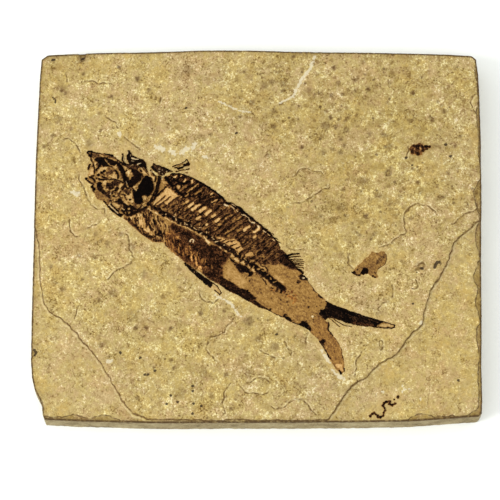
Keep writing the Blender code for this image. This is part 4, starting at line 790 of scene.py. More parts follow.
def paint_spines(fish):
    """Spines from each vertebra to the back's edge."""
    slope = 1.0 / math.tan(SPINE_LEAN)
    top_edge = [p for p in BODY_EDGE if p[1] > 4.9 and p[0] > 17.0]
    dice = np.random.default_rng(5)
    for middle in np.arange(FIRST_SPINE, LAST_SPINE, SPINE_PITCH):
        root_t = point_on(CHAIN, middle - 1.6) + 0.7
        tip_t = point_on(top_edge, middle + 1.6) - 0.3
        tone = dice.uniform(0.84, 0.96)
        bend = dice.uniform(-0.15, 0.15)
        points = [
            (middle + (t - SPINE_LEVEL) * slope + bend * (t - SPINE_LEVEL) / 5.0, t)
            for t in np.linspace(root_t, tip_t, 4)
        ]
        fish.mark(points, 0.27, tip=0.22, tone=tone, swell=0.1, soft=0.14)


def paint_windows(fish):
    """Gaps where the tan stone shows between the spines."""
    for s, t, width, length, tone in SPINE_GAPS:
        ends = sliver(s, t, SPINE_LEAN, (length - width) / 2.0)
        fish.mark(ends, width, tip=width * 0.8, tone=tone, swell=0.0, soft=0.12)
    paint_areas(fish, UNDER_BACK_GAPS, swell=0.0)
    for s, t, reach in UNDER_BACK_SPLINTERS:
        ends = [(s - 0.5 * reach, t - 0.8 * reach), (s + 0.5 * reach, t + 0.8 * reach)]
        fish.mark(ends, 0.34, tip=0.2, tone=0.85)


def paint_seam(fish, dice):
    """The dark band of the backbone, and the bright seam under its front in short ragged strokes."""
    fish.mark(CHAIN[:6], 1.3, tone=0.8, soft=0.4)
    fish.mark(CHAIN[5:10], 1.2, tone=0.86, soft=0.3)
    fish.mark(CHAIN[9:], 1.7, tip=1.4, tone=0.92, soft=0.25)
    for start in np.arange(18.0, 34.0, 1.15):
        end = start + dice.uniform(0.55, 1.15)
        rise, width = dice.uniform(-0.12, 0.12), dice.uniform(0.26, 0.46)
        ends = [(start, point_on(SEAM, start) + rise), (end, point_on(SEAM, end) - rise)]
        tone, pale = dice.uniform(0.02, 0.2), dice.uniform(0.0, 0.4)
        fish.mark(ends, width, tip=width * 0.6, tone=tone, pale=pale)
    fish.area(SEAM_END, tone=0.03, pale=0.3)


def paint_vertebrae(fish, dice):
    """A row of black lumps with bright flecks of calcite."""
    for s in np.arange(19.3, 59.5, 0.7):
        t = point_on(CHAIN, s) + dice.uniform(-0.25, 0.3)
        radius = dice.uniform(0.26, 0.42)
        fish.speck(s, t, radius, tone=dice.uniform(0.93, 1.0), swell=0.18, soft=0.15, pale=0.0)
        if dice.uniform() < (0.62 if s < 48.0 else 0.3):
            spot_s, spot_t = s + dice.uniform(-0.3, 0.3), t + dice.uniform(-0.6, 0.5)
            ends = sliver(spot_s, spot_t, dice.uniform(0.0, math.pi), dice.uniform(0.05, 0.3))
            fish.mark(ends, dice.uniform(0.2, 0.36), tone=0.08, pale=dice.uniform(0.1, 0.7), soft=0.1)
    for s, t, radius in CHAIN_GLINTS:
        ends = sliver(s, t, (0.6 * s) % math.pi, radius)
        fish.mark(ends, 1.1 * radius, tip=0.6 * radius, tone=0.04, pale=0.45)


def paint_rear_chain(fish, dice):
    """The rear of the backbone, broken up: more black lumps, then pale chips among them."""
    for s in np.arange(41.0, 60.0, 0.62):
        t = point_on(CHAIN, s) + dice.uniform(-0.75, 0.6)
        fish.speck(s, t, dice.uniform(0.24, 0.5), tone=dice.uniform(0.86, 1.0), pale=0.0, swell=0.1)
    for s in np.arange(44.3, 57.0, 1.35):
        t = point_on(CHAIN, s) + dice.uniform(-0.7, 0.7)
        ends = sliver(s, t, dice.uniform(0.0, math.pi), dice.uniform(0.2, 0.45))
        fish.mark(ends, dice.uniform(0.24, 0.4), tone=0.2, pale=0.1)
    for s, t in CHAIN_KNOTS:
        fish.speck(s, t, 0.4, tone=BLACK, pale=0.0)
    for s, t, width, height in REAR_CHIPS:
        for _ in range(3):
            mid_s, mid_t = s + width * dice.uniform(-0.35, 0.35), t + height * dice.uniform(-0.3, 0.3)
            ends = sliver(mid_s, mid_t, dice.uniform(-0.8, 0.8), dice.uniform(0.15, 0.35) * width)
            fish.mark(ends, dice.uniform(0.3, 0.8) * height, tip=0.3 * height, tone=0.08, pale=0.1, soft=0.1)


def paint_backbone(fish):
    dice = np.random.default_rng(21)
    paint_seam(fish, dice)
    paint_vertebrae(fish, dice)
    paint_rear_chain(fish, dice)


def paint_stalk(fish):
    """The tail stalk: light brown skin with dark scraps along its edges and orange specks."""
    fish.area(STALK_KEEL, tone=0.89, red=0.5, soft=0.16)
    fish.shade(STALK_PATCH, tone=0.93, soft=0.12)
    fish.shade(STALK_PALE, tone=0.2, soft=0.2)
    fish.shade(STALK_FRONT, tone=0.25, soft=0.7)
    paint_strokes(fish, STALK_BARS, cover=False)
    paint_areas(fish, STALK_BLOTS)
    paint_dots(fish, STALK_DOTS, cover=False)
    dice = np.random.default_rng(77)
    for _ in range(26):
        s, t = dice.normal(61.5, 2.2), dice.normal(1.2, 1.1)
        fish.speck(s, t, dice.uniform(0.16, 0.34), tone=dice.uniform(0.35, 0.6), red=1.3)
    fish.speck(62.2, 7.05, 0.24, tone=0.0, pale=0.9)
    fish.speck(69.7, -0.3, 0.26, tone=0.0, pale=0.9)


def paint_back_edge(fish):
    """The black keel of the back, with overlapping scutes behind it and bare stone between, whitened with
    painted highlights.
    """
    fish.mark(NAPE_KEEL, 0.6, tone=0.97)
    fish.stroke(BACK_KEEL, 0.8, tip=0.5, tone=BLACK, swell=0.12)
    fish.stroke(REAR_KEEL, 0.55, tip=0.35, tone=BLACK, swell=0.12)
    fish.shade(BACK_END, tone=0.84, soft=0.3)
    fish.area(FIN_FOOT, tone=0.88, soft=0.2)
    for start, end in SCUTES:
        middle = ((start[0] + end[0]) / 2.0, (start[1] + end[1]) / 2.0 - 0.12)
        fish.stroke([start, middle, end], 0.44, tip=0.18, tone=BLACK, swell=0.1)
    # bare stone whitened with painted highlights
    for pale, width, points in BACK_STONE_AND_HIGHLIGHTS:
        fish.mark(points, width, tone=0.0, pale=pale)


def paint_shoulder(fish):
    paint_areas(fish, SHOULDER_GAPS, cover=False)
    paint_strokes(fish, SHOULDER_BARS, swell=0.12)
    # painted highlights: short pale strokes on the black bone
    for s, t in SHOULDER_HIGHLIGHTS:
        fish.mark([(s, t), (s + 0.15, t - 0.5)], 0.16, tone=0.5, pale=0.2)


def paint_head(fish):
    """The skull's plates and the stone in the gaps between them."""
    paint_areas(fish, SKULL_AREAS)
    paint_areas(fish, SKULL_GAPS, cover=False)


def paint_head_lines(fish):
    """The skull's thin bones, the brow and the gill cover, with painted highlights on them."""
    fish.area(BROW, tone=0.95, swell=0.14)
    for tone, width, points in SKULL_BARS:
        fish.stroke(points, 1.22 * width, tone=tone, swell=0.08)
    paint_dots(fish, SKULL_DOTS)
    fish.area(GILL_COVER, tone=BLACK, swell=0.22)
    # painted highlights: pale glints on the glossy black bone
    for width, points in SKULL_HIGHLIGHTS:
        fish.mark(points, 0.72 * width, tone=0.05, pale=0.6)


def paint_loose_plates(fish):
    """The plate over the nape, with a black rim, and the loose bone behind it."""
    fish.area(NAPE_PLATE, tone=0.8, swell=0.08)
    fish.stroke(NAPE_RIM, 0.38, tone=BLACK, swell=0.14)
    fish.stroke(NAPE_FOOT, 0.34, tone=BLACK, swell=0.12)
    paint_highlights(fish, NAPE_HIGHLIGHTS, 0.16, tone=0.3, pale=0.5)
    paint_strokes(fish, LOOSE_BONE_BARS, swell=0.12)


def paint_fins(fish):
    fish.stroke(FIN_BASE, 0.5, tone=0.9)
    for tone, width, points in FIN_RAYS:
        fish.stroke(points, width * 1.5, tip=width, tone=tone, swell=0.08, soft=0.08)
    fish.area(PELVIC_FIN, tone=0.96, swell=0.06)
    fish.area(PELVIC_GAP, tone=0.14)
    paint_strokes(fish, PELVIC_BARS)
    paint_highlights(fish, PELVIC_HIGHLIGHTS, 0.16, tone=0.4, pale=0.3)


def paint_tail(fish):
    fish.area(LOWER_LOBE, tone=0.4, red=0.45)
    fish.area(UPPER_TIP, tone=0.35)
    fish.area(UPPER_LOBE, tone=0.95, swell=0.06)
    fish.shade(LOBE_GLOW, tone=0.78, red=0.6, soft=0.3)
    paint_areas(fish, TAIL_BLOTS, cover=False)
    paint_strokes(fish, TAIL_BARS)


def roughen(fish):
    """The grain of crushed bone: along the spines, ribs and tail rays, and all ways on the head."""
    for outline, *streak in BONE_STREAKS:
        fish.streak(outline, *streak)
    tone = fish.fields["tone"]
    np.clip(tone, 0.0, 1.0, out=tone)


def paint_splinters(fish, outline, count, lean, width, length, seed, **look):
    """Short slivers of crushed bone at random places inside an outline, leaning about one way."""
    dice = np.random.default_rng(seed)
    low, high = np.min(outline, axis=0), np.max(outline, axis=0)
    for _ in range(count):
        s, t = dice.uniform(low, high)
        if depth_inside(np.array([s]), np.array([t]), outline)[0] < 0.3:
            continue
        turn = lean + dice.normal(0.0, 0.25)
        ends = sliver(s, t, turn, 0.5 * length * dice.uniform(0.4, 1.2))
        fish.mark(ends, width * dice.uniform(0.7, 1.3), tip=width * 0.5, soft=0.09, **look)


def splinter(fish):
    """Dark and light slivers over the head, the back, the belly, the gut and the tail."""
    for lean, seed in ((0.5, 151), (1.9, 152), (-0.6, 153)):
        paint_splinters(fish, SKULL_BASE, 22, lean, 0.34, 1.1, seed, tone=0.98)
        paint_splinters(fish, SKULL_BASE, 22, lean, 0.26, 1.1, seed + 10, tone=0.04, pale=0.15)
    for *places, tone in BONE_SPLINTERS:
        paint_splinters(fish, *places, tone=tone)


def make_fish_canvas():
    """The fish, painted in the order in which its parts lie over each other."""
    fish = Canvas(FISH_ORIGIN, FISH_TURN, FISH_LOW, FISH_HIGH, BED_HEIGHT, seed=40)
    paint_body(fish)
    paint_ribs(fish)
    paint_spines(fish)
    paint_stalk(fish)
    paint_tail(fish)
    fish.area(SKULL_BASE, tone=0.34, red=0.2)
    roughen(fish)
    splinter(fish)
    paint_head(fish)
    paint_windows(fish)
    paint_back_edge(fish)
    paint_backbone(fish)
    paint_head_lines(fish)
    paint_shoulder(fish)
    paint_loose_plates(fish)
    paint_fins(fish)
    return fish


# ---------------------------------------------------------------- small things beside the fish

FRAGMENT = [
    (24.6, -10.7), (25.4, -9.5), (27.5, -7.7), (28.8, -6.5), (29.5, -5.5), (31.3, -5.6), (32.6, -5.2),
    (33.4, -5.9), (33.6, -7.2), (33, -8.8), (31.2, -10.1), (30.9, -11), (31.3, -12), (30.8, -12.5),
    (29.9, -12.2), (28.6, -11.3), (26.8, -11.6), (25.3, -11.5),
]
FRAGMENT_FOOT = [(24.4, -11), (25.1, -10.5), (25.6, -11), (25.3, -11.6)]
FRAGMENT_BLACK = [
    (26.5, -11.4), (27, -10.6), (27.2, -9.9), (28, -9.7), (28.6, -10), (28.7, -10.7), (28.5, -11.3),
    (27.5, -11.5),
]
FRAGMENT_SPECKS = [(30.5, -11.1), (30.4, -12.3), (29.9, -11.9), (26, -10.2)]
LUMP_FILM = [(40, 21.2), (40, 23.2), (42.4, 24), (44, 23.6), (45.3, 23.2), (43.6, 21.6), (42.6, 20.7)]
LUMPS = [  # place, radius
    (40.3, 22.4, 0.5), (41, 23.1, 0.65), (42.5, 23.7, 0.5), (40.5, 21.5, 0.5), (41.7, 22, 0.7),
    (42, 21.2, 0.5), (44.2, 23.1, 0.5), (45, 23.1, 0.4), (44.4, 22.4, 0.3), (42, 23, 0.7), (43, 22.9, 0.6),
    (43.3, 22, 0.4),
]
LUMP_HIGHLIGHTS = [(41.2, 22.3), (40.8, 21), (42.6, 22.6), (43.6, 23.4)]
STRING_BITS = [
    [(28.9, -48.6), (29.3, -48.1), (29.8, -47.8), (30.2, -48.2), (30.8, -48.8), (31.4, -49), (32.2, -48.6),
     (32.4, -47.8)],
    [(32.6, -47.2), (32.4, -46.6), (32, -46), (32.4, -45.3), (33, -44.9), (34, -44.8)],
    [(33.8, -45.5), (34.5, -45.8), (35.3, -45.4)],
]
STRING_CRUMBS = [(35, -44.3, 0.25), (36, -43.7, 0.4)]  # place, radius


def make_fragment_canvas():
    patch = Canvas((0.0, 0.0), 0.0, (23.0, -14.0), (35.5, -4.0), BED_HEIGHT, seed=60)
    patch.area(FRAGMENT, tone=0.4, red=0.2)
    patch.area(FRAGMENT_FOOT, tone=0.9, red=0.6)
    patch.area(FRAGMENT_BLACK, tone=0.96)
    patch.stroke([(24.5, -10.9), (25.3, -11.5), (26.5, -11.7)], 0.4, tone=0.92)
    patch.mark([(33.4, -5.8), (33.6, -7.2), (33.0, -8.8), (31.2, -10.1)], 0.2, tone=0.7)
    patch.mark([(32.8, -6.6), (32.0, -7.4), (31.2, -8.4)], 0.7, tone=0.6, red=-0.2, soft=0.4)
    patch.mark([(30.9, -6.9), (31.2, -7.6)], 0.3, tone=0.2, soft=0.2)
    for s, t in FRAGMENT_SPECKS:
        patch.speck(s, t, 0.22, tone=0.85)
    return patch


def make_lump_canvas():
    patch = Canvas((0.0, 0.0), 0.0, (38.5, 19.0), (47.0, 25.5), BED_HEIGHT, seed=62)
    patch.area(LUMP_FILM, tone=0.5, red=0.6, soft=0.4)
    for x, y, radius in LUMPS:
        patch.dot(x, y, radius, tone=0.84 + 0.1 * math.sin(9.0 * x), swell=0.25 * radius, red=0.7, soft=0.16)
    patch.stroke([(42.4, 21.7), (42.9, 21.0)], 0.5, tone=0.5, red=0.9, soft=0.25)
    paint_highlights(patch, LUMP_HIGHLIGHTS, 0.2, tone=0.2, pale=0.3)
    return patch


def make_string_canvas():
    patch = Canvas((0.0, 0.0), 0.0, (27.5, -49.8), (37.5, -42.5), BED_HEIGHT - LEDGE_DROP, seed=64)
    dice = np.random.default_rng(31)
    for points in STRING_BITS:
        patch.stroke(points, 0.5, tone=0.64, red=0.7)
        for s, t in points:
            patch.dot(s, t, dice.uniform(0.28, 0.42), tone=dice.uniform(0.74, 0.94), red=0.7, swell=0.1)
    for s, t, radius in STRING_CRUMBS:
        patch.dot(s, t, radius, tone=0.85, swell=0.1)
    return patch


# ---------------------------------------------------------------- meshes from a canvas

def piece_height(canvas):
    """Height of the painted surface above the bed. It dips under the stone where nothing is painted."""
    s, t, cover = canvas.s, canvas.t, canvas.cover
    tone = np.clip(canvas.fields["tone"], 0.0, 1.0)
    grain = 0.02 * wander(s, t, 0.5, 71) + 0.014 * wander(s, t, 0.26, 72)
    bone = FILM_LIFT + BONE_LIFT * np.power(tone, 1.4) + canvas.fields["swell"] + grain
    return bone * smooth(-0.05, 0.3, cover) - EDGE_SINK * (1.0 - smooth(-0.3, 0.05, cover))


def write_fields(mesh, fields):
    for name, values in fields.items():
        layer = mesh.attributes.new(name, "FLOAT", "POINT")
        layer.data.foreach_set("value", values.astype(np.float32))


def piece_mesh(name, canvas, cells, heights):
    """A closed mesh over some of a canvas's cells: the painted surface, walls into the stone and a floor."""
    i, j = np.nonzero(cells)
    rows = canvas.s.shape[1]
    first = i * rows + j
    corners = np.stack([first, first + rows, first + rows + 1, first + 1], axis=1)
    used, local = np.unique(corners, return_inverse=True)
    quads = local.reshape(-1, 4)
    edges = np.concatenate([quads[:, [k, (k + 1) % 4]] for k in range(4)])
    keys = {(a, b) for a, b in edges.tolist()}
    rim = [(a, b) for a, b in keys if (b, a) not in keys]
    x, y = canvas.slab_place(canvas.s.ravel()[used], canvas.t.ravel()[used])
    top = np.stack([x, y, canvas.height + heights.ravel()[used]], axis=1)
    rim_points = sorted({a for a, _ in rim})
    lower = {a: len(used) + n for n, a in enumerate(rim_points)}
    base = top[rim_points].copy()
    base[:, 2] = canvas.height - PIECE_DEPTH
    walls = [(b, a, lower[a], lower[b]) for a, b in rim]
    mesh = bpy.data.meshes.new(name)
    mesh.from_pydata((np.concatenate([top, base]) * MM).tolist(), [], quads.tolist() + walls)
    chosen = np.concatenate([used, used[rim_points]])
    write_fields(mesh, {field: canvas.fields[field].ravel()[chosen] for field in ("tone", "red", "pale")})
    close_floor(mesh)
    return mesh


def close_floor(mesh):
    shape = bmesh.new()
    shape.from_mesh(mesh)
    open_edges = [edge for edge in shape.edges if edge.is_boundary]
    bmesh.ops.triangle_fill(shape, use_beauty=False, edges=open_edges)
    bmesh.ops.recalc_face_normals(shape, faces=shape.faces[:])
    for face in shape.faces:
        face.smooth = True
    shape.to_mesh(mesh)
    shape.free()


def add_piece(name, mesh, look, node):
    piece = bpy.data.objects.new(name, mesh)
    bpy.context.scene.collection.objects.link(piece)
    mesh.materials.append(look)
    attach(piece, "root")
    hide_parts(node)


def covered_cells(canvas):
    shown = canvas.cover > COVER_REACH
    return shown[:-1, :-1] | shown[1:, :-1] | shown[1:, 1:] | shown[:-1, 1:]


def make_relief(node, canvas, cells, heights, looks, slot):
    mesh = piece_mesh(f"{node}_relief", canvas, cells, heights)
    add_piece(f"{node}_relief", mesh, looks[slot], node)


def make_fish_pieces(fish, looks):
    """Cuts each plate's piece from the canvas: a cell goes to the plate it is deepest in or nearest to."""
    centre_s = fish.s[:-1, :-1] + CANVAS_PITCH / 2.0
    centre_t = fish.t[:-1, :-1] + CANVAS_PITCH / 2.0
    depths = np.stack([depth_inside(centre_s, centre_t, outline) for outline in PLATES.values()])
    owner = np.argmax(depths, axis=0)
    shown = covered_cells(fish)
    heights = piece_height(fish)
    slots = {row["node"]: row["material_slot"] for row in frame["record"]["subparts"]}
    for number, node in enumerate(PLATES):
        make_relief(node, fish, shown & (owner == number), heights, looks, slots[node])


def make_small_piece(node, canvas, looks, slot):
    make_relief(node, canvas, covered_cells(canvas), piece_height(canvas), looks, slot)


# ---------------------------------------------------------------- the slab's skin

SLAB_OUTLINE = [
    (-54.6, -49.6), (-47, -50), (-40.7, -50.2), (-34, -50.4), (-27.8, -50.6), (11, -50.5), (24, -50.4),
    (36.8, -50.2), (43.3, -49.8), (49.8, -49.3), (56.8, -48.8), (57.6, -47.8), (57.8, -44.7), (57.8, -34),
    (58.1, -21), (58.2, -11), (58.5, 2), (58.7, 12), (58.8, 25), (58.7, 36), (58.5, 43), (58, 47.2),
    (56.8, 48.3), (51, 48.7), (38, 49.1), (25, 49.3), (11, 49.5), (-2, 49.9), (-15, 49.9), (-28, 49.4),
    (-42, 49.2), (-55.6, 48.5), (-57.2, 47.2), (-57.6, 41), (-57.9, 30), (-58.2, 19.5), (-58.3, 3),
    (-58.5, -18), (-58.5, -34), (-58.1, -38.8), (-57.3, -42), (-56.1, -44.2), (-55.4, -46), (-55.2, -48.4),
]
SLAB_CORNERS = [(-54.6, -49.6), (57.6, -47.8), (58, 47.2), (-57.2, 47.2)]
LOWER_BED = [  # where the fish's bed has split off: both front corners and a strip between them
    (-60, 1.6), (-57.6, 1.1), (-56.9, -2.5), (-56.4, -4.9), (-56.3, -10.9), (-55.8, -15), (-55.3, -18),
    (-54, -21), (-52.5, -22), (-50.8, -22.8), (-49.5, -24), (-48, -25.4), (-46.5, -27), (-45, -29.3),
    (-44, -30), (-42.7, -31.5), (-41.5, -33), (-40.3, -34.6), (-39.4, -36.2), (-38.4, -37.9),
    (-37.3, -39.8), (-36.4, -41.5), (-35.2, -43.6), (-33.9, -45.6), (-32.5, -47.2), (-31.5, -48.1),
    (-30, -48.6), (-28.5, -49.3), (-25, -49.7), (-23, -49.4), (-20.5, -49.7), (-16, -49.5), (-13.5, -49.9),
    (-9, -49.8), (-4, -49.6), (0.5, -49.9), (5, -49.7), (9, -49.9), (13, -49.8), (17.8, -49.6),
    (18.6, -48.8), (19.7, -47), (21, -45), (22.3, -43.2), (23, -42), (24.3, -40.6), (25.3, -40),
    (26.7, -39), (27.7, -38.6), (28.8, -37.5), (30, -36.2), (31.5, -34.9), (33, -34), (34.5, -33.3),
    (35.5, -32.6), (37, -30.7), (38, -29), (39.2, -27.5), (40.6, -26.3), (42.2, -24.8), (42.5, -23.3),
    (42.8, -22), (43.2, -20.7), (43.5, -19), (44.2, -17.5), (44.7, -15.5), (45.5, -14.2), (46.8, -12.3),
    (47.8, -10.7), (48.7, -9), (49.4, -7.3), (49.8, -6), (50.3, -5), (50.5, -4), (51, -2.7), (52, -1.5),
    (53, -0.9), (54, -0.1), (55, 0.8), (56, 1.8), (57, 3), (58.3, 3.3), (60, 3.6), (60, -52), (-60, -52),
]
CHIPS = [  # thin flakes off the slab's edges
    [(-60, -49.3), (-54.5, -48.7), (-53, -48.7), (-51, -48.9), (-49, -48.5), (-47.5, -48.2), (-46, -48.3),
     (-44.5, -49), (-43, -49.2), (-41.5, -48.7), (-40, -48.4), (-38.2, -48.4), (-37, -48.8), (-35.5, -49.5),
     (-34.7, -50.5), (-34, -53), (-60, -53)],
    [(60, 14.6), (58.1, 14.2), (57.2, 12.8), (56.5, 11.6), (56.3, 9.5), (56.7, 8), (57, 6.9), (57.3, 5.5),
     (57.8, 4.2), (57.2, 1.5), (56.5, -0.5), (56.7, -3), (57.5, -5), (57.6, -7), (56.8, -9.5),
     (55.9, -11.5), (56.2, -13.5), (57, -15), (56.4, -17.5), (56.3, -19), (56.8, -21), (57.3, -24),
     (56.4, -25.5), (56.4, -28), (56.8, -30.5), (56.8, -34), (56.5, -38), (56.6, -42), (56.4, -46),
     (56, -47.3), (55.2, -47.4), (54.4, -48), (53.4, -48.5), (52, -48.9), (51, -49.2), (50.7, -48.6),
     (50, -48.2), (49.3, -48.3), (48.8, -48.8), (48, -48.6), (46, -48.5), (45.5, -48.8), (44.5, -48.3),
     (43, -48), (41, -48.2), (39.5, -48.7), (38.4, -49.6), (38, -52), (60, -52)],
    [(-60, -30.9), (-57.9, -31), (-57.1, -31.9), (-57.7, -33.2), (-60, -33.6)],
    [(57.7, 47), (57.3, 44), (57.7, 41), (57.9, 36), (57.5, 32.5), (57.9, 28), (57.8, 22), (58.2, 17),
     (60, 16), (60, 47.5)],
    [(-47.4, 52), (-47.2, 48.4), (-46.9, 47.2), (-46.3, 46.4), (-45.6, 47), (-45.2, 48.4), (-45.2, 52)],
]
CELLS_LONG = 306
CELLS_SHORT = 258
# How far below the rim each row of the sides lies, where they are full high
SIDE_ROWS = [0, 0.3, 0.7, 1.3, 2, 2.8, 3.7, 4.7, 5.7, 6.7, 7.7, 8.6, 9]
BED_WAVES = ((0.035, 2.4, 101), (0.03, 0.9, 102), (0.02, 0.45, 103))  # height, size, seed
WORN_STEP = (-52.8, -20.0)  # where the step down to the lower bed is worn wide
CONTOURS = [  # faint edges of thin flakes of bedding
    [(9.5, 14.5), (10.2, 15.8), (11.2, 16.9), (12.8, 17.2), (14, 16.7), (15.3, 16.3), (16.5, 16), (17.4, 15)],
    [(8, 7.6), (11.5, 7.6), (13, 8.6), (14.3, 9.6), (16.6, 11.2), (18.5, 11.8), (19.1, 13.3)],
    [(31.2, -4.9), (32, -4.1), (33.6, -3.6), (35.3, -2.6), (36, -1.8), (37.2, -0.8), (38.3, -0.9),
     (38.7, -0.2), (38.1, 1.8), (38.2, 3.5), (38.6, 5), (39.4, 6.2), (40.5, 7.1), (41.8, 7.5), (43.2, 7.1),
     (44.8, 6.5), (46.2, 5.3), (47.7, 4)],
    [(50, 2.6), (51, 2.2), (52, 2.8), (52.9, 4), (53.6, 4.7), (56, 5.3), (57, 6.3), (57.2, 7.5), (56.5, 8.4)],
    [(41.3, -9.5), (42, -8.4), (42.9, -8.1), (43.2, -9), (42.5, -9.8), (41.3, -10.3), (40.4, -10.8)],
    [(40.7, -12.5), (41.3, -13.8), (41.4, -14.8), (40.7, -15.4), (39.5, -15.4)], [(34.8, -14), (34.8, -18)],
    [(24.3, -5.6), (23.5, -6.6), (23.4, -8.1), (24.2, -9.4), (25, -10.4)],
    [(8, -4.4), (9.5, -4.9), (12.4, -4.8)],
    [(-46.8, 16), (-46.5, 14), (-45.6, 12), (-44.6, 9.5), (-43.2, 7.2), (-41.5, 6), (-40, 6.1), (-39.8, 4.2)],
    [(-45, 1.1), (-43.5, 1.2), (-42, 1.9), (-40.4, 3)],
    [(-49, 3.3), (-48.9, 1.5), (-48.3, -0.2), (-47.5, -1.3), (-46.5, -1.2), (-46, -0.4)],
    [(-39.4, -13), (-38.2, -12.2), (-36.2, -10.1), (-35.2, -9.8), (-33, -8.5), (-31.6, -7.4)],
    [(-34.8, -0.2), (-33.7, -1), (-33.1, -4), (-33.2, -5.2), (-31.6, -7.3)],
    [(-15.1, -16.3), (-14.8, -17.5), (-14.2, -18.4), (-13.3, -18.9), (-11.5, -19.1), (-10, -17.8)],
    [(-5.2, -22.6), (-6.2, -23.4), (-7, -24.5), (-8.2, -25.6), (-8.6, -27), (-10.2, -27.4), (-11.8, -28.2),
     (-12.8, -29.6), (-13.2, -31.2), (-12.4, -32.4), (-10.5, -34.6), (-9.6, -35.6)],
    [(-6.3, -39.9), (-7.6, -41), (-8.5, -42.5), (-8.8, -44.8), (-9.3, -46), (-8.1, -48.2), (-9.6, -49.4)],
    [(-5, -40.4), (-4.2, -41.5), (-3.2, -42.5), (-1.7, -43), (1.5, -43.2), (2.9, -42.6), (3.6, -41.9)],
    [(-3.4, -40.3), (-1.8, -40.2), (-0.8, -39.3), (0.8, -39), (2.2, -39.3), (3.6, -40.6)],
    [(2.5, -46.2), (4.5, -46.9), (6.6, -46.6), (7.8, -45.6), (8.6, -44.6), (11.2, -44.2), (13.3, -46.8),
     (15.2, -49.3)],
    [(0.2, -31.4), (1.5, -32.2), (2.8, -32.8), (4.9, -33.9)],
    [(6.7, -28.8), (7.2, -30.2), (8.6, -32.2), (8.8, -33.4)], [(13, -26.3), (12.2, -29), (12.6, -30)],
    [(25, -39), (25.2, -36.5), (25.4, -34.5), (27, -31.4)], [(-46, -19.5), (-46.6, -21), (-47.2, -23.8)],
    [(-50.8, 43.4), (-50.3, 42), (-50.1, 40.6)], [(-50.8, 25.4), (-49.5, 25.2), (-48, 24.2), (-46.2, 21)],
    [(-46.2, 40.9), (-43.5, 41.1), (-41.6, 40.5), (-38, 40.4)],
    [(-40.2, 31.8), (-38.4, 30.3), (-37.2, 29.6), (-36.6, 28)],
    [(-35.2, 25.8), (-34.2, 24.8), (-32, 23.4), (-30.6, 21.8)],
    [(31.4, -29), (32.1, -29.3), (32.2, -31.2), (31.6, -31.5), (31.2, -30.2), (31.4, -29)],
    [(33.8, -18.5), (32.1, -19.3), (31, -20.5), (31.1, -21.4), (31.7, -21)],
    [(39.8, 23.4), (39.1, 21), (38.9, 19.5)], [(-53.9, 36.8), (-53.2, 36), (-52.6, 36.6)],
    [(57.9, 37.8), (56.7, 36.7), (56.1, 35.3), (56.7, 33.5), (57.7, 32.1)], [(-25.4, 36.6), (-25.8, 34.9)],
]
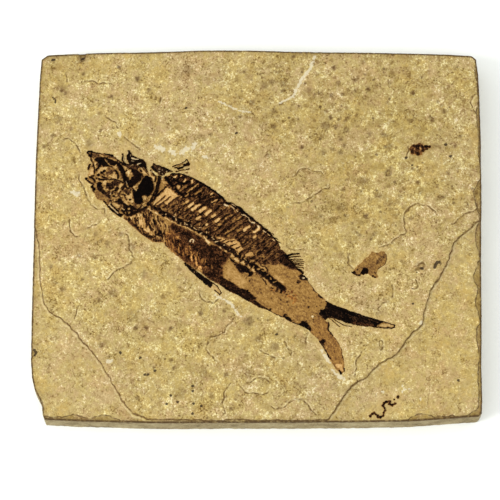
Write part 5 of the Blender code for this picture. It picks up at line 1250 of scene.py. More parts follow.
BROWN_SPOTS = [  # round brown stains: place, radius, strength
    (42.4, 22, 2.4, 0.3), (46.2, 23.2, 0.9, 0.35), (-51.7, 38.6, 0.4, 1), (-50.6, 37.8, 0.35, 1),
    (-51.2, 39, 1.2, 0.4), (-46, 43.2, 0.35, 0.8), (-36.6, 45.1, 0.45, 0.9), (-31.7, 41.8, 0.55, 1),
    (-38.5, 37, 0.3, 0.9), (-28.6, 38.7, 0.6, 0.6), (-41.3, 27.4, 0.25, 1), (-53.7, 26.1, 0.35, 0.8),
    (-48.9, 27.9, 0.4, 0.6), (-45, 30.5, 0.35, 0.6), (-52.5, 30.6, 0.9, 0.5), (-41.5, 32.3, 0.35, 0.7),
    (-44, 24, 1, 0.45), (-25.5, 35.8, 0.5, 0.6), (-18.3, 44.5, 1.3, 0.35), (-55.9, 23.1, 0.4, 0.6),
    (-12.2, 26.4, 0.35, 0.8), (-4.6, 31.3, 0.35, 0.8), (-1.5, 35.3, 0.6, 0.7), (4.3, 32.9, 0.6, 0.7),
    (6.2, 35.1, 0.35, 0.9), (19.2, 31, 0.5, 0.9), (11.6, 22.9, 0.4, 1), (19.8, 22.4, 0.45, 0.7),
    (12.6, 40.6, 0.3, 1), (15.1, 37.5, 0.3, 0.8), (13.5, 38.8, 0.7, 0.5), (19.5, 37.3, 0.35, 0.9),
    (20.2, 44.9, 0.45, 1), (9.5, 47.9, 0.4, 0.8), (5.6, 43.7, 0.4, 0.8), (6.7, 38.4, 0.5, 0.8),
    (2, 40, 0.8, 0.5), (7, 40.6, 0.8, 0.5), (4, 41, 0.7, 0.5), (-3.4, 43.8, 0.3, 0.8),
    (-5.5, 41.5, 0.7, 0.5), (15.8, 43, 0.4, 0.6), (18, 33, 0.4, 0.7), (18, 28.8, 0.9, 0.5),
    (3, 20.8, 0.6, 0.5), (17, 21.5, 0.8, 0.5), (12.8, 20.4, 0.3, 0.8), (-14.5, 23, 0.4, 0.6),
    (4.2, 28.6, 0.7, 0.6), (29.1, 38.9, 0.45, 1), (25.7, 38.6, 0.35, 0.7), (23.8, 38.9, 0.3, 0.7),
    (22.6, 37.6, 0.3, 0.7), (28.1, 46.4, 0.5, 0.5), (26, 41.5, 0.5, 0.7), (21.3, 40.8, 0.6, 0.6),
    (41, 37.8, 0.5, 0.9), (34.2, 35.3, 0.4, 0.7), (35.8, 30.1, 0.35, 0.8), (40.5, 30.3, 0.45, 0.9),
    (45.4, 31.3, 0.4, 0.8), (46, 30.5, 0.5, 1), (49.2, 32.9, 0.5, 0.8), (47.5, 35.6, 0.35, 0.8),
    (33.2, 26.3, 0.6, 0.7), (29.5, 26.7, 0.5, 0.6), (21.8, 25.1, 0.35, 0.9), (22.7, 23.5, 0.35, 0.8),
    (21.7, 21.6, 0.5, 0.7), (34.3, 22.9, 0.9, 0.5), (51.8, 23.3, 0.4, 0.7), (40.6, 17.1, 0.4, 0.9),
    (49.9, 15.8, 0.35, 0.8), (53.2, 25.9, 0.4, 0.7), (47.9, 27.8, 0.3, 0.7), (45.3, 43.8, 0.5, 0.5),
    (52.4, 44.7, 0.5, 0.6), (43.3, 42.2, 0.3, 0.7), (34.8, 40.6, 0.4, 0.7), (23.5, 30.8, 0.6, 0.7),
    (20.8, 28.8, 0.6, 0.6), (28.3, 4.2, 0.5, 1), (22.4, 11.4, 0.45, 0.8), (41.9, 13.3, 0.45, 0.9),
    (48.6, 9.3, 0.3, 1), (47.5, 9.3, 0.9, 0.4), (34.4, 7.8, 1, 0.5), (27.8, 14, 1.1, 0.5),
    (42.8, 11.3, 0.9, 0.5), (31.3, 10, 0.8, 0.5), (21.7, 6.5, 1, 0.45), (16.5, 4.3, 0.4, 0.7),
    (26.5, -0.8, 0.5, 0.6), (24.7, 2.3, 0.3, 0.8), (36, 4.3, 0.6, 0.5), (40, 3.8, 0.5, 0.6),
    (29.6, -2, 0.35, 0.9), (30.6, -0.6, 0.6, 0.5), (-35.4, -0.7, 0.5, 0.6), (-42, -0.6, 0.5, 0.5),
    (-40.6, -2.3, 0.4, 0.7), (-39, -3, 0.5, 0.6), (-46.4, -6.3, 0.4, 0.8), (-42.3, -7, 0.4, 0.7),
    (-53.5, -9.5, 0.4, 0.6), (-50.5, -15.3, 0.6, 0.6), (-41, -18.5, 0.6, 0.7), (-37.2, -16.5, 1, 0.5),
    (-24.5, -17.3, 0.5, 0.7), (-29.8, -11.5, 0.8, 0.5), (-45.3, -12.8, 0.3, 0.8), (-32.7, -4, 0.8, 0.5),
    (-28.6, -25.7, 0.5, 0.9), (-31.4, -25.7, 0.45, 0.9), (-22.3, -25.8, 0.35, 1), (-40.2, -30.2, 0.6, 0.6),
    (-22.2, -34.3, 0.4, 0.8), (-26.6, -36.2, 0.3, 0.8), (-21.5, -36.2, 0.3, 0.8), (-14.6, -21.8, 0.5, 0.7),
    (-8.7, -21.2, 0.35, 0.9), (-30.6, -44.1, 0.35, 0.8), (-19.5, -43, 1.1, 0.4), (-11.7, -43.8, 0.5, 0.6),
    (-6.8, -47, 0.4, 0.8), (-13.5, -38, 1.4, 0.35), (-8, -38, 0.5, 0.7), (-32, -22.4, 1.3, 0.35),
    (-2.3, -23.9, 1.1, 0.7), (0.4, -28.6, 0.7, 0.6), (-2, -37.5, 1.1, 0.4), (4.5, -30.8, 1, 0.5),
    (30.8, -22.1, 0.35, 0.6), (-46.5, 47.4, 1.1, 0.5), (-54.8, 47.2, 1.4, 0.3),
]
SCRATCHES = [  # thin whitish marks
    ([(15.1, 47.9), (13.9, 44.6), (11.9, 42.1), (10.9, 40.1), (9.4, 37.1)], 0.8),
    ([(9.4, 37.1), (7.9, 36.1), (5.9, 35.1)], 0.5),
    ([(-10.1, 35.6), (-7.1, 34.1), (-5.1, 33.1), (-2.1, 32.6)], 0.5),
    ([(37, -40.7), (37.4, -41.4), (38.3, -41.6), (39.4, -42)], 0.4), ([(37.3, -42), (37, -42.7)], 0.3),
    ([(-26.4, 22.9), (-24.6, 22.4)], 1.3), ([(-22.9, 21.8), (-21.6, 21.2)], 1.1),
    ([(-19.9, 21.4), (-18.4, 22.6)], 1.2), ([(-17, 22.4), (-16.4, 24)], 0.9),
    ([(-14.2, 20.4), (-13, 20)], 0.8), ([(-48.2, 10.6), (-46.8, 10.2)], 1.2),
    ([(-38.6, -34.6), (-37.4, -34.4)], 0.9), ([(42, -24.6), (42.2, -24)], 0.8),
    ([(-36.5, 26.8), (-36, 26.3)], 0.9), ([(32, -42.2), (32.1, -42.7)], 0.4),
    ([(41.7, -44.1), (41.8, -44.6)], 0.4),
]
FISH_SCRATCHES = [  # the same, in the fish's frame
    ([(45.5, -9.2), (48, -9), (50, -8.8), (52, -9.8), (54, -10.5)], 0.6),
    ([(76.6, -6.6), (78.4, -7.6), (79.8, -8.3)], 0.7), ([(81.6, -9.5), (83.4, -10), (85.2, -9.8)], 0.8),
    ([(0.4, 13.8), (0.6, 13.2)], 0.8), ([(0.1, -6.2), (0.5, -5.6)], 0.7),
]
DARK_MARKS = [  # dark mineral spots: a short line and its width
    ([(46.6, -8.2), (46.2, -8.8), (45.9, -9.6)], 0.7), ([(47.2, -8), (47.5, -8.6)], 0.4),
    ([(42.4, -9.8), (42.8, -9.9)], 0.6), ([(41.2, -11), (41.3, -11)], 0.4),
    ([(51.5, -39.3), (51.6, -39.4)], 0.6), ([(49.3, 23.7), (49.4, 23.7)], 0.7),
    ([(50.5, 20.5), (50.6, 20.5)], 0.6), ([(38.9, 20.1), (39, 20.1)], 0.6), ([(40.4, 18), (40.5, 18)], 0.5),
    ([(-35.3, -32.2), (-35.2, -32.5)], 0.45), ([(-57.6, -31.2), (-56.9, -32), (-57.4, -32.8)], 0.5),
    ([(-46.4, 47.4), (-45.8, 47.6)], 0.5), ([(-54.2, 47), (-53.6, 47.1)], 0.5),
    ([(-53.9, 36.8), (-53.2, 36), (-53.1, 35.2)], 0.3), ([(40.1, -19.2), (40.2, -19.2)], 0.5),
]
BROWN_RINGS = [  # place, radius, strength
    (34.2, 15.9, 0.65, 0.9), (23.3, 27.7, 0.5, 0.7), (42.2, -9.1, 0.9, 0.6),
]
PINPRICK_REACH = 0.6
PINPRICKS = [  # black dots
    (-35.3, -32.2), (-30.2, -33.6), (-29, -38), (-28.2, -38), (-26.4, -37), (-23.3, -45.7), (-22.3, -43.5),
    (-20.5, -45.2), (-16.7, -41), (-16.7, -42.3), (-16.4, -45.6), (-14.5, -46.2), (-16.7, -48.2),
    (4.9, -27.4), (-18.8, 33.7), (-5.6, 26.8),
]


TINTS = {  # broad soft patches of the bed: place, radius, strength
    "mottled": [
        (36, 30, 36, 1), (10, 40, 26, 0.8), (4, -36, 24, 0.55), (20, 10, 22, 0.8), (54, 10, 18, 0.8),
        (-50, 44, 9, 0.4), (-30, -30, 18, 0.4),
    ],
    "cool": [
        (54, 24, 16, 0.7), (-8, 36, 24, 0.4), (18, -40, 14, 0.7), (-26, 24, 8, 0.6), (-34, -38, 12, 0.3),
        (30, -20, 9, 0.4), (54, 4, 8, 0.5),
    ],
    "warm": [
        (-50, 4, 20, 0.6), (-38, -8, 14, 0.4), (24, 12, 13, 0.6), (46, -30, 22, 0.6), (-53, 42, 8, 0.6),
        (8, 8, 12, 0.4), (0, -24, 12, 0.4),
    ],
    "green": [
        (-24, -30, 16, 0.4), (38, 26, 20, 0.4), (-36, -22, 10, 0.3),
    ],
}


def tint_field(x, y, blobs, seed):
    field = np.zeros(x.shape)
    ragged = 0.3 * wander(x, y, 9.0, seed) + 0.15 * wander(x, y, 3.0, seed + 1)
    for blob_x, blob_y, radius, strength in blobs:
        reach = np.hypot(x - blob_x, y - blob_y) / radius + ragged
        field = np.maximum(field, strength * smooth(1.1, 0.2, reach))
    return field


def spaced(points, count):
    """A line of points resampled to this many even steps."""
    points = np.array(points, float)
    run = np.concatenate([[0.0], np.cumsum(np.hypot(*np.diff(points, axis=0).T))])
    at = np.linspace(0.0, run[-1], count + 1)
    return np.stack([np.interp(at, run, points[:, 0]), np.interp(at, run, points[:, 1])], axis=1)


def outline_sides():
    """The slab's outline as four lines between its corners: front, right, back and left, anticlockwise."""
    outline = SLAB_OUTLINE
    starts = [outline.index(corner) for corner in SLAB_CORNERS]
    sides = []
    for n, start in enumerate(starts):
        end = starts[(n + 1) % 4]
        stretch = outline[start:end + 1] if end > start else outline[start:] + outline[:end + 1]
        sides.append(spaced(stretch, CELLS_LONG if n % 2 == 0 else CELLS_SHORT)[:-1])
    return sides


def rim_inset(ring, outward, drop):
    """How far the side stands back from the outline at a distance below the rim."""
    x, y = ring[:, 0], ring[:, 1]
    broken = 0.3 + 0.7 * smooth(0.6, 0.8, np.maximum(outward[:, 0], outward[:, 1]))
    level = drop + 0.0 * x
    along = x * outward[:, 1] - y * outward[:, 0]
    inset = 0.14 + 0.05 * math.exp(-drop / 0.3) + 0.05 * smooth(8.5, 9.0, drop)
    rough = 0.07 * wander(along, level, 1.0, 81) + 0.04 * wander(along, level, 0.5, 82)
    rough += broken * (0.1 * wander(along, level * 2.5, 4.0, 83) + 0.1 * wander(along, level * 4.0, 9.0, 84))
    return np.maximum(inset + rough * (0.4 + 0.6 * smooth(0.0, 1.0, drop)), 0.13)


def steps_down(x, y):
    """How far each place is past the edge of the fish's bed, and past the edge of the nearest small chip."""
    wobble_x, wobble_y = wobbled(x, y, BROKEN_WAVES)
    lower_bed = np.clip(depth_inside(wobble_x, wobble_y, LOWER_BED), -9.0, 9.0)
    chips = [depth_inside(wobble_x, wobble_y, outline) for outline in CHIPS]
    return lower_bed, np.clip(np.max(chips, axis=0), -9.0, 9.0)


def bed_surface(x, y, fish, patches):
    """Height of the slab's upper surface, and the fields that colour it."""
    out, chip = steps_down(x, y)
    wide = smooth(4.5, 2.0, np.hypot(x - WORN_STEP[0], y - WORN_STEP[1]))
    step = smooth(0.0, 0.32 + 0.5 * wide, out)
    high = BED_HEIGHT - LEDGE_DROP * step - CHIP_DROP * smooth(0.0, 0.3, chip)
    calm = 1.0 - 0.5 * step
    high = high + calm * sum(height * wander(x, y, size, seed) for height, size, seed in BED_WAVES)
    high = high + 0.06 * wander(x, y, 15.0, 104)
    high = high - 0.05 * calm * np.clip(wander(x, y, 1.3, 105) - 0.55, 0.0, 1.0) / 0.45
    line, weight = contour_field(x, y)
    high = high + 0.03 * weight * smooth(-0.3, 0.3, line) - 0.03 * weight * np.exp(-(line / 0.25) ** 2)
    cover = np.max([canvas.cover_at(x, y) for canvas in [fish] + patches], axis=0)
    high = high - 0.04 * smooth(-0.8, 0.0, cover) - 0.32 * smooth(0.4, 0.8, cover)
    scratches = SCRATCHES + [turned(points, width, fish) for points, width in FISH_SCRATCHES]
    pinpricks = [([(px, py), (px + 0.1, py)], PINPRICK_REACH) for px, py in PINPRICKS]
    fields = {
        "ledge": out, "chip": chip, "line": line, "line_weight": weight, "pale": marks_field(x, y, scratches),
        "dark": marks_field(x, y, DARK_MARKS + pinpricks), "halo": smooth(-2.2, 0.0, cover),
        "side": np.zeros(x.shape), "edge": depth_inside(x, y, SLAB_OUTLINE), "stain": stain_field(x, y),
    }
    for number, (name, blobs) in enumerate(TINTS.items()):
        fields[name] = tint_field(x, y, blobs, 121 + 2 * number)
    return high, fields


def turned(points, width, canvas):
    """A mark given in a canvas's frame, in the slab's."""
    return [canvas.slab_place(s, t) for s, t in points], width


def contour_field(x, y):
    """Signed distance to the nearest faint contour, and a weight that ends it cleanly."""
    line, weight = np.full(x.shape, 1.0), np.zeros(x.shape)
    for points in CONTOURS:
        near = near_points(x, y, points, 1.5)
        gap, side, share = line_gap(*wobbled(x[near], y[near], CONTOUR_WAVES), points)
        closer = gap < np.abs(line[near])
        fade = smooth(0.0, 0.08, share) * smooth(1.0, 0.92, share) * smooth(0.95, 0.6, gap)
        line[near] = np.where(closer, gap * side, line[near])
        weight[near] = np.where(closer, fade, weight[near])
    return line, weight


def stain_field(x, y):
    """How brown the bed is from the round stains, full ones and rings."""
    field = np.zeros(x.shape)
    for across, along, radius, strength in BROWN_SPOTS:
        near = near_points(x, y, [(across, along)], 2.2 * radius + 0.4)
        sx, sy = x[near], y[near]
        gap = np.hypot(sx - across, sy - along) + 0.4 * radius * wander(sx, sy, 0.8 * radius, 115)
        field[near] = np.maximum(field[near], strength * smooth(1.5 * radius + 0.2, 0.6 * radius, gap))
    for across, along, radius, strength in BROWN_RINGS:
        near = near_points(x, y, [(across, along)], 2.0 * radius)
        gap = np.abs(np.hypot(x[near] - across, y[near] - along) - radius)
        field[near] = np.maximum(field[near], strength * smooth(0.45, 0.1, gap))
    return field


def marks_field(x, y, marks):
    """1 in the middle of each mark, falling evenly to 0 at its width from there."""
    field = np.zeros(x.shape)
    for points, width in marks:
        near = near_points(x, y, points, width)
        gap = line_gap(x[near], y[near], points)[0]
        field[near] = np.maximum(field[near], 1.0 - gap / width)
    return field


def top_grid(rim):
    """Places inside the rim, blended from its four sides."""
    front, right, back, left = rim
    u = np.linspace(0.0, 1.0, CELLS_LONG + 1)[:, None, None]
    v = np.linspace(0.0, 1.0, CELLS_SHORT + 1)[None, :, None]
    low, high = front[:, None, :], back[::-1][:, None, :]
    near, far = left[::-1][None, :, :], right[None, :, :]
    front_corners = (1 - u) * (1 - v) * front[0] + u * (1 - v) * front[-1]
    corners = front_corners + u * v * back[0] + (1 - u) * v * back[-1]
    return (1 - v) * low + v * high + (1 - u) * near + u * far - corners


def make_slab_mesh(fish, patches):
    """One closed skin: the bed, the broken sides in rows below its rim, and a flat underside."""
    ring = np.concatenate(outline_sides())
    along = np.roll(ring, -2, axis=0) - np.roll(ring, 2, axis=0)
    along /= np.linalg.norm(along, axis=1)[:, None]
    outward = np.stack([along[:, 1], -along[:, 0]], axis=1)
    sides = [ring - outward * rim_inset(ring, outward, drop)[:, None] for drop in SIDE_ROWS]
    rim = sides[0]
    ends = np.cumsum([0, CELLS_LONG, CELLS_SHORT, CELLS_LONG, CELLS_SHORT])
    closed = np.concatenate([rim, rim[:1]])
    top = top_grid([closed[a:b + 1] for a, b in zip(ends, ends[1:])])
    x, y = top[..., 0], top[..., 1]
    high, fields = bed_surface(x, y, fish, patches)
    index = np.arange(x.size).reshape(x.shape)
    rim_index = np.concatenate([index[:-1, 0], index[-1, :-1], index[:0:-1, -1], index[0, :0:-1]])
    points = [np.stack([x.ravel(), y.ravel(), high.ravel()], axis=1)]
    values = {name: [field.ravel()] for name, field in fields.items()}
    rim_high = high.ravel()[rim_index]
    rows = [rim_index]
    start = x.size
    for drop, row in zip(SIDE_ROWS[1:], sides[1:]):
        level = rim_high * (1.0 - drop / BED_HEIGHT)
        points.append(np.stack([row[:, 0], row[:, 1], level], axis=1))
        rows.append(np.arange(start, start + len(row)))
        start += len(row)
        add_side_values(values, rim_index, drop)
    return build_slab(np.concatenate(points), values, index, rows)


def add_side_values(values, rim_index, drop):
    """The fields on a row of the sides: how far down it is, and what carries on down from the rim."""
    for name, parts in values.items():
        if name == "side":
            parts.append(np.full(len(rim_index), drop))
        elif name in ("ledge", "halo", "chip"):
            parts.append(parts[0][rim_index])
        elif name == "line":
            parts.append(np.full(len(rim_index), 1.0))
        else:
            parts.append(np.zeros(len(rim_index)))


def build_slab(points, values, index, rows):
    """The slab's mesh: quads over the bed and round the sides, and one face below."""
    quads = np.stack([index[:-1, :-1], index[1:, :-1], index[1:, 1:], index[:-1, 1:]], axis=-1)
    faces = quads.reshape(-1, 4).tolist()
    for upper, lower in zip(rows, rows[1:]):
        ahead_upper, ahead_lower = np.roll(upper, -1), np.roll(lower, -1)
        faces += np.stack([upper, lower, ahead_lower, ahead_upper], axis=1).tolist()
    faces.append(rows[-1][::-1].tolist())
    mesh = bpy.data.meshes.new("limestone_skin")
    mesh.from_pydata((points * MM).tolist(), [], faces)
    write_fields(mesh, {name: np.concatenate(parts) for name, parts in values.items()})
    shape = bmesh.new()
    shape.from_mesh(mesh)
    bmesh.ops.remove_doubles(shape, verts=shape.verts, dist=1e-7)
    bmesh.ops.recalc_face_normals(shape, faces=shape.faces[:])
    for face in shape.faces:
        face.smooth = len(face.verts) < 5
    shape.to_mesh(mesh)
    shape.free()
    return mesh


# ---------------------------------------------------------------- materials

def seen(red, green, blue):
    """The surface colour that looks like this screen colour, 0 to 255, under the scene's lights."""
    made = []
    for level in (red, green, blue):
        share = level / 255.0
        made.append(STONE_SHARE * (share / 12.92 if share <= 0.04045 else ((share + 0.055) / 1.055) ** 2.4))
    return (*made, 1.0)


class Nodes:
    """Short calls for building one material's nodes."""

    def __init__(self, name):
        self.material = bpy.data.materials.new(name)
        self.material.use_nodes = True
        self.tree = self.material.node_tree
        self.surface = self.tree.nodes["Principled BSDF"]
        self.place = self.add("ShaderNodeTexCoord").outputs["Object"]

    def add(self, kind, **settings):
        made = self.tree.nodes.new(kind)
        for name, value in settings.items():
            setattr(made, name, value)
        return made

    def feed(self, socket, value):
        if isinstance(value, bpy.types.NodeSocket):
            self.tree.links.new(value, socket)
        else:
            socket.default_value = value

    def sum(self, operation, a, b=0.0, c=0.0, clamp=False):
        made = self.add("ShaderNodeMath", operation=operation, use_clamp=clamp)
        for socket, value in zip(made.inputs, (a, b, c)):
            self.feed(socket, value)
        return made.outputs[0]

    def times(self, a, b):
        return self.sum("MULTIPLY", a, b)

    def noise(self, size, seed, detail=0.0):
        """Noise with features of about this many millimetres, from 0 to 1."""
        made = self.add("ShaderNodeTexNoise", noise_dimensions="4D")
        self.feed(made.inputs["Vector"], self.place)
        made.inputs["W"].default_value = seed * 7.3
        made.inputs["Scale"].default_value = 1.0 / (size * MM)
        made.inputs["Detail"].default_value = detail
        return made.outputs[0]

    def spots(self, spacing, seed, radius, soft):
        """Ragged spots of up to this radius at random places: 1 inside them and 0 outside."""
        shift = self.add("ShaderNodeVectorMath", operation="ADD")
        shift.inputs[1].default_value = (seed * 0.37, seed * 0.21, seed * 0.53)
        self.feed(shift.inputs[0], self.place)
        made = self.add("ShaderNodeTexVoronoi")
        self.feed(made.inputs["Vector"], shift.outputs[0])
        made.inputs["Scale"].default_value = 1.0 / (spacing * MM)
        ragged = self.sum("MULTIPLY_ADD", self.noise(radius, seed + 60, 2.0), 1.6 * radius, -0.8 * radius)
        away = self.sum("MULTIPLY_ADD", made.outputs["Distance"], spacing, ragged)
        return self.between(away, radius, radius - soft)

    def field(self, name):
        return self.add("ShaderNodeAttribute", attribute_name=name).outputs["Fac"]

    def between(self, value, low, high, start=0.0, end=1.0, kind="SMOOTHSTEP"):
        made = self.add("ShaderNodeMapRange", interpolation_type=kind)
        for socket, number in zip(made.inputs, (value, low, high, start, end)):
            self.feed(socket, number)
        return made.outputs[0]

    def ramp(self, value, stops):
        """A colour from a row of screen colours by value."""
        made = self.add("ShaderNodeValToRGB")
        self.feed(made.inputs[0], value)
        band = made.color_ramp.elements
        while len(band) < len(stops):
            band.new(0.5)
        for element, (position, colour) in zip(band, stops):
            element.position = position
            element.color = seen(*colour)
        return made.outputs[0]

    def mix(self, share, under, over, blend="MIX"):
        made = self.add("ShaderNodeMix", data_type="RGBA", blend_type=blend)
        for name, value in (("Factor_Float", share), ("A_Color", under), ("B_Color", over)):
            socket = next(s for s in made.inputs if s.identifier == name)
            self.feed(socket, value)
        return next(s for s in made.outputs if s.identifier == "Result_Color")

    def bump(self, height, distance):
        made = self.add("ShaderNodeBump")
        made.inputs["Distance"].default_value = distance * MM
        self.feed(made.inputs["Height"], height)
        self.feed(self.surface.inputs["Normal"], made.outputs[0])


def weighted(nodes, parts):
    """The sum of noises, each less its middle value and times its weight."""
    total = None
    for size, seed, detail, weight in parts:
        part = nodes.sum("MULTIPLY_ADD", nodes.noise(size, seed, detail), weight, -0.5 * weight)
        total = part if total is None else nodes.sum("ADD", total, part)
    return total


def band(nodes, distance, middle, half, soft=0.08):
    """1 within a stripe of distances, falling off over soft at both sides."""
    away = nodes.sum("ABSOLUTE", nodes.sum("SUBTRACT", distance, middle))
    return nodes.between(away, half + soft, max(half - soft, 0.0))


STONE_GRAIN = ((0.32, 1, 1.0, 1.9), (0.7, 2, 1.0, 1.2), (1.6, 3, 0.0, 0.75))  # size, seed, detail, weight
STONE_CLOUDS = ((3.2, 4, 0.0, 0.4), (7.5, 5, 0.0, 0.5))
HUE_DRIFT = ((0.9, 7, 1.0, 1.2), (2.2, 8, 1.0, 1.3), (7.0, 9, 0.0, 1.0))
ROSY_DRIFT = ((1.2, 10, 1.0, 1.0), (3.5, 11, 0.0, 1.0))
WALL_GRAIN = ((0.4, 21, 1.0, 1.0), (1.2, 22, 1.0, 0.8), (4.0, 23, 0.0, 0.8))
STONE_RELIEF = ((0.35, 31, 1.0, 0.7), (1.0, 32, 1.0, 1.3))
BONE_GRAIN = ((0.3, 41, 1.0, 0.9), (0.7, 42, 1.0, 0.55), (1.6, 43, 0.0, 0.25))
BONE_RELIEF = ((0.25, 51, 1.0, 1.0), (0.6, 52, 1.0, 1.0))
STONE_TONES = (
    (0.0, (128, 102, 50)), (0.14, (164, 138, 80)), (0.3, (188, 163, 102)), (0.48, (200, 176, 114)),
    (0.68, (207, 184, 120)), (0.82, (220, 197, 132)), (0.93, (238, 217, 151)), (1.0, (255, 243, 186)),
)
# the sides' colour: greyer than the bed as broken stone is, and darker with painted shade
WALL_TONES_AND_SHADE = ((0.0, (106, 88, 52)), (0.5, (168, 150, 108)), (1.0, (204, 188, 146)))
BONE_TONES = (
    (0.0, (236, 208, 146)), (0.12, (208, 172, 108)), (0.32, (164, 127, 63)), (0.5, (118, 84, 44)),
    (0.68, (74, 47, 24)), (0.84, (34, 20, 11)), (1.0, (6, 3, 2)),
)
STONE_SPOTS = (  # brown mottles: spacing, seed, radius, soft edge, share and colour
    (2.5, 12, 1.3, 0.9, 0.5, (156, 128, 66)), (2.5, 13, 0.66, 0.35, 0.65, (132, 102, 50)),
    (3.4, 14, 0.5, 0.25, 0.75, (100, 74, 36)),
)
# Tints that multiply the stone's colour
PATCH_TINTS = {
    "cool": [
        0.96, 0.96, 1.06, 1,
    ],
    "warm": [
        1.01, 0.98, 0.88, 1,
    ],
    "green": [
        0.97, 0.98, 0.88, 1,
    ],
    "mottled": [
        0.91, 0.9, 0.86, 1,
    ],
}
GOLDEN = (1.02, 0.99, 0.84, 1.0)
LILAC = (0.99, 0.94, 1.06, 1.0)
ROSY = (1.0, 0.955, 0.92, 1.0)
CHIPPED = (0.7, 0.65, 0.55, 1.0)
DUSKY = (0.84, 0.82, 0.78, 1.0)
REDDISH = (1.3, 0.9, 0.6, 1.0)


def bed_colour(nodes, lower):
    """Buff stone: fine grain, soft brown mottles where the bed is mottled, golden and lilac drifts, and
    painted sparkle highlights.
    """
    calm = nodes.between(lower, 0.0, 1.0, 1.0, 0.8, "LINEAR")
    mottled = nodes.times(nodes.field("mottled"), nodes.between(lower, 0.0, 1.0, 1.0, 0.4, "LINEAR"))
    grain = weighted(nodes, STONE_GRAIN)
    grain = nodes.times(grain, nodes.between(nodes.noise(4.0, 6, 1.0), 0.36, 0.6, 0.75, 1.15))
    cloud = weighted(nodes, STONE_CLOUDS)
    cloud = nodes.times(cloud, nodes.between(mottled, 0.0, 1.0, 0.45, 1.0, "LINEAR"))
    tone = nodes.sum("MULTIPLY_ADD", nodes.sum("ADD", grain, cloud), calm, 0.54, clamp=True)
    base = nodes.ramp(tone, STONE_TONES)
    for name, tint in PATCH_TINTS.items():
        base = nodes.mix(nodes.field(name), base, tint, "MULTIPLY")
    hue = weighted(nodes, HUE_DRIFT)
    base = nodes.mix(nodes.between(hue, 0.0, 0.34), base, GOLDEN, "MULTIPLY")
    base = nodes.mix(nodes.between(hue, 0.0, -0.34), base, LILAC, "MULTIPLY")
    rosy = weighted(nodes, ROSY_DRIFT)
    base = nodes.mix(nodes.between(rosy, -0.1, 0.3), base, ROSY, "MULTIPLY")
    for spacing, seed, radius, soft, share, colour in STONE_SPOTS:
        spot = nodes.spots(spacing, seed, radius, soft)
        spot = nodes.times(spot, nodes.between(mottled, 0.0, 0.9, 0.25, share))
        base = nodes.mix(nodes.times(spot, calm), base, seen(*colour))
    level, present = nodes.noise(5.0, 17, 3.0), nodes.between(nodes.noise(2.6, 18, 1.0), 0.47, 0.6)
    for middle, share, colour in ((0.492, 0.6, seen(134, 106, 56)), (0.512, 0.45, seen(234, 214, 154))):
        flake = nodes.times(band(nodes, level, middle, 0.006, 0.005), present)
        base = nodes.mix(nodes.times(flake, share), base, colour)
    # painted highlights: small whitish sparkles of light on the grain
    painted_sparkle = nodes.sum("MULTIPLY_ADD", nodes.noise(3.0, 21), 0.2, nodes.noise(0.5, 16, 1.0))
    painted_sparkle = nodes.between(painted_sparkle, 0.75, 0.82)
    return nodes.mix(nodes.times(painted_sparkle, 0.5), base, seen(250, 234, 176))


def bed_marks(nodes, base, broken):
    """The stone close round the fossils, the round brown stains and the faint contours."""
    base = nodes.mix(nodes.times(nodes.field("halo"), 0.4), base, seen(222, 190, 122))
    stain = nodes.times(nodes.field("stain"), nodes.between(broken, 0.3, 0.6, 0.6, 0.95))
    base = nodes.mix(stain, base, seen(88, 53, 16))
    for middle, half, low, high, colour in (
        (0.0, 0.2, 0.35, 0.95, seen(112, 84, 40)), (0.42, 0.16, 0.0, 0.6, seen(238, 218, 162)),
    ):
        line = nodes.times(band(nodes, nodes.field("line"), middle, half, 0.12), nodes.field("line_weight"))
        line = nodes.times(line, nodes.between(broken, 0.36, 0.6, low, high))
        base = nodes.mix(line, base, colour)
    return base


def split_edges(nodes, base, broken):
    """Painted shade and dark dirt on the step down to the lower bed, a painted highlight below it, and flake
    edges in painted shade.
    """
    out, chip = nodes.field("ledge"), nodes.field("chip")
    # painted shade on the step face and in the crack at its foot, with some dark dirt in the crack
    face = nodes.times(band(nodes, out, 0.14, 0.16), nodes.between(broken, 0.3, 0.6, 0.5, 0.95))
    base = nodes.mix(face, base, seen(108, 78, 38))
    # a painted highlight on the lower bed just below the step
    step_highlight = nodes.times(band(nodes, out, 0.62, 0.2, 0.15), nodes.between(broken, 0.4, 0.6, 0.1, 0.6))
    base = nodes.mix(step_highlight, base, seen(238, 218, 162))
    base = nodes.mix(nodes.between(chip, 0.1, 0.5), base, CHIPPED, "MULTIPLY")
    # painted shade on the small step at the edge of each flake
    chip_edge_shade = nodes.times(band(nodes, chip, 0.12, 0.14), nodes.between(broken, 0.3, 0.6, 0.35, 0.9))
    base = nodes.mix(chip_edge_shade, base, seen(96, 68, 34))
    return base


def scratches_and_spots(nodes, base):
    """Thin whitish scratches and dark mineral spots."""
    pale = nodes.sum("MULTIPLY_ADD", nodes.noise(0.6, 19, 2.0), 2.0, -1.05)
    pale = nodes.between(nodes.sum("ADD", nodes.field("pale"), pale), 0.3, 0.65)
    base = nodes.mix(nodes.times(pale, 0.75), base, seen(240, 228, 192))
    dark = nodes.sum("MULTIPLY_ADD", nodes.noise(0.6, 20, 1.0), 0.5, -0.25)
    dark = nodes.between(nodes.sum("ADD", nodes.field("dark"), dark), 0.28, 0.5)
    base = nodes.mix(nodes.times(dark, 0.9), base, seen(52, 36, 18))
    return base


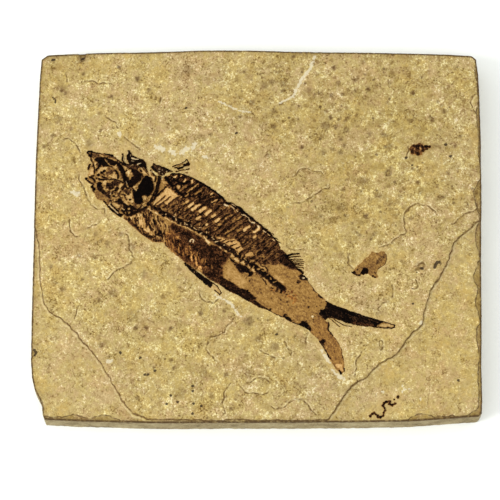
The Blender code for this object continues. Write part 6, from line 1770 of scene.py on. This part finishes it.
def walls_and_rim(nodes, base, broken):
    """The broken sides in a darker, greyer colour, partly their own and partly painted shade, dusk towards
    the edge of the slab, and the dark line along its rim.
    """
    drop = nodes.field("side")
    # the sides: their own greyer colour, darkened with painted shade
    wall_colour_and_shade = nodes.ramp(nodes.sum("ADD", weighted(nodes, WALL_GRAIN), 0.5, clamp=True), WALL_TONES_AND_SHADE)
    base = nodes.mix(nodes.between(drop, 0.15, 0.5), base, wall_colour_and_shade)
    away = nodes.sum("ADD", nodes.field("edge"), drop)
    dusk = nodes.times(nodes.between(away, 2.0, 0.3), 0.8)
    base = nodes.mix(dusk, base, DUSKY, "MULTIPLY")
    rim = nodes.times(nodes.between(away, 0.8, 0.4), nodes.between(broken, 0.3, 0.55, 0.55, 1.0))
    base = nodes.mix(rim, base, seen(92, 68, 36))
    return base


def limestone_look():
    nodes = Nodes("limestone")
    broken = nodes.noise(0.7, 18, 1.0)
    base = bed_colour(nodes, nodes.between(nodes.field("ledge"), 0.1, 0.5))
    base = bed_marks(nodes, base, broken)
    base = split_edges(nodes, base, broken)
    base = scratches_and_spots(nodes, base)
    base = walls_and_rim(nodes, base, broken)
    nodes.feed(nodes.surface.inputs["Base Color"], base)
    nodes.surface.inputs["Roughness"].default_value = 0.82
    nodes.surface.inputs["Specular IOR Level"].default_value = 0.2
    nodes.bump(weighted(nodes, STONE_RELIEF), 0.14)
    return nodes.material


def fossil_look(name, shine):
    """Mineralised bone and skin: from tan through brown to black by how thickly it is painted."""
    nodes = Nodes(name)
    painted = nodes.field("tone")
    grain_share = nodes.between(painted, 0.25, 0.55, 0.4, 1.0)
    grain_share = nodes.times(grain_share, nodes.between(painted, 0.85, 1.0, 1.0, 0.25))
    tone = nodes.sum("MULTIPLY_ADD", weighted(nodes, BONE_GRAIN), grain_share, painted, clamp=True)
    base = nodes.ramp(tone, BONE_TONES)
    red = nodes.sum("MULTIPLY", nodes.field("red"), 0.7, clamp=True)
    base = nodes.mix(red, base, REDDISH, "MULTIPLY")
    # pale flecks: calcite and bare stone, and painted highlights on the glossy bone
    pale = nodes.between(nodes.field("pale"), 0.1, 0.7)
    base = nodes.mix(nodes.times(pale, 0.7), base, seen(242, 224, 178))
    nodes.feed(nodes.surface.inputs["Base Color"], base)
    rough = nodes.between(tone, 0.3, 0.95, 0.75, shine)
    nodes.feed(nodes.surface.inputs["Roughness"], rough)
    nodes.feed(nodes.surface.inputs["Specular IOR Level"], nodes.between(tone, 0.3, 0.9, 0.15, 0.02))
    nodes.bump(weighted(nodes, BONE_RELIEF), 0.1)
    return nodes.material


def floor_look():
    nodes = Nodes("floor")
    nodes.surface.inputs["Base Color"].default_value = FLOOR_WHITE
    nodes.surface.inputs["Roughness"].default_value = 0.9
    nodes.surface.inputs["Specular IOR Level"].default_value = 0.1
    return nodes.material


# ---------------------------------------------------------------- stage, lights and camera

def add_floor():
    mesh = bpy.data.meshes.new("floor")
    corners = [(x * FLOOR_REACH, y * FLOOR_REACH, 0.0) for x, y in ((-1, -1), (1, -1), (1, 1), (-1, 1))]
    mesh.from_pydata(corners, [], [(0, 1, 2, 3)])
    floor = bpy.data.objects.new("floor", mesh)
    bpy.context.scene.collection.objects.link(floor)
    floor.location = (0.0, 0.0, -FLOOR_GAP)
    mesh.materials.append(floor_look())
    floor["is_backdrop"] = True


def add_area_light(name, place, size, power):
    data = bpy.data.lights.new(name, "AREA")
    data.shape = "DISK"
    data.size = size
    data.energy = power
    lamp = bpy.data.objects.new(name, data)
    bpy.context.scene.collection.objects.link(lamp)
    lamp.location = place
    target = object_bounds()[0] * 0.0
    lamp.rotation_euler = (target - lamp.location).to_track_quat("-Z", "Y").to_euler()


def add_world(strength):
    world = bpy.data.worlds.new("studio")
    world.use_nodes = True
    shade = world.node_tree.nodes["Background"]
    shade.inputs["Color"].default_value = (1.0, 1.0, 1.0, 1.0)
    shade.inputs["Strength"].default_value = strength
    bpy.context.scene.world = world


def add_camera():
    data = bpy.data.cameras.new("camera")
    data.sensor_width = SENSOR
    data.lens = CAMERA_LENS
    data.clip_start = 0.01
    camera = bpy.data.objects.new("camera", data)
    bpy.context.scene.collection.objects.link(camera)
    camera.location = [value * MM for value in CAMERA_PLACE]
    camera.rotation_euler = (CAMERA_TILT, 0.0, 0.0)
    bpy.context.scene.camera = camera


def make_stage():
    add_floor()
    add_world(WORLD_STRENGTH)
    add_area_light("key", KEY_PLACE, KEY_SIZE, KEY_POWER)
    add_camera()
    bpy.context.scene.view_settings.view_transform = "Standard"


def main():
    looks = {
        "bone_black": fossil_look("bone_black", 0.42),
        "bone_brown": fossil_look("bone_brown", 0.5),
        "skin_film": fossil_look("skin_film", 0.55),
        "coprolite": fossil_look("coprolite", 0.5),
    }
    fish = make_fish_canvas()
    fragment = make_fragment_canvas()
    lump = make_lump_canvas()
    string = make_string_canvas()
    make_fish_pieces(fish, looks)
    make_small_piece("brown_fragment", fragment, looks, "skin_film")
    make_small_piece("coprolite_lump", lump, looks, "coprolite")
    make_small_piece("coprolite_string", string, looks, "coprolite")
    slab_mesh = make_slab_mesh(fish, [fragment, lump, string])
    add_piece("limestone_skin", slab_mesh, limestone_look(), "limestone_slab")
    make_stage()


main()
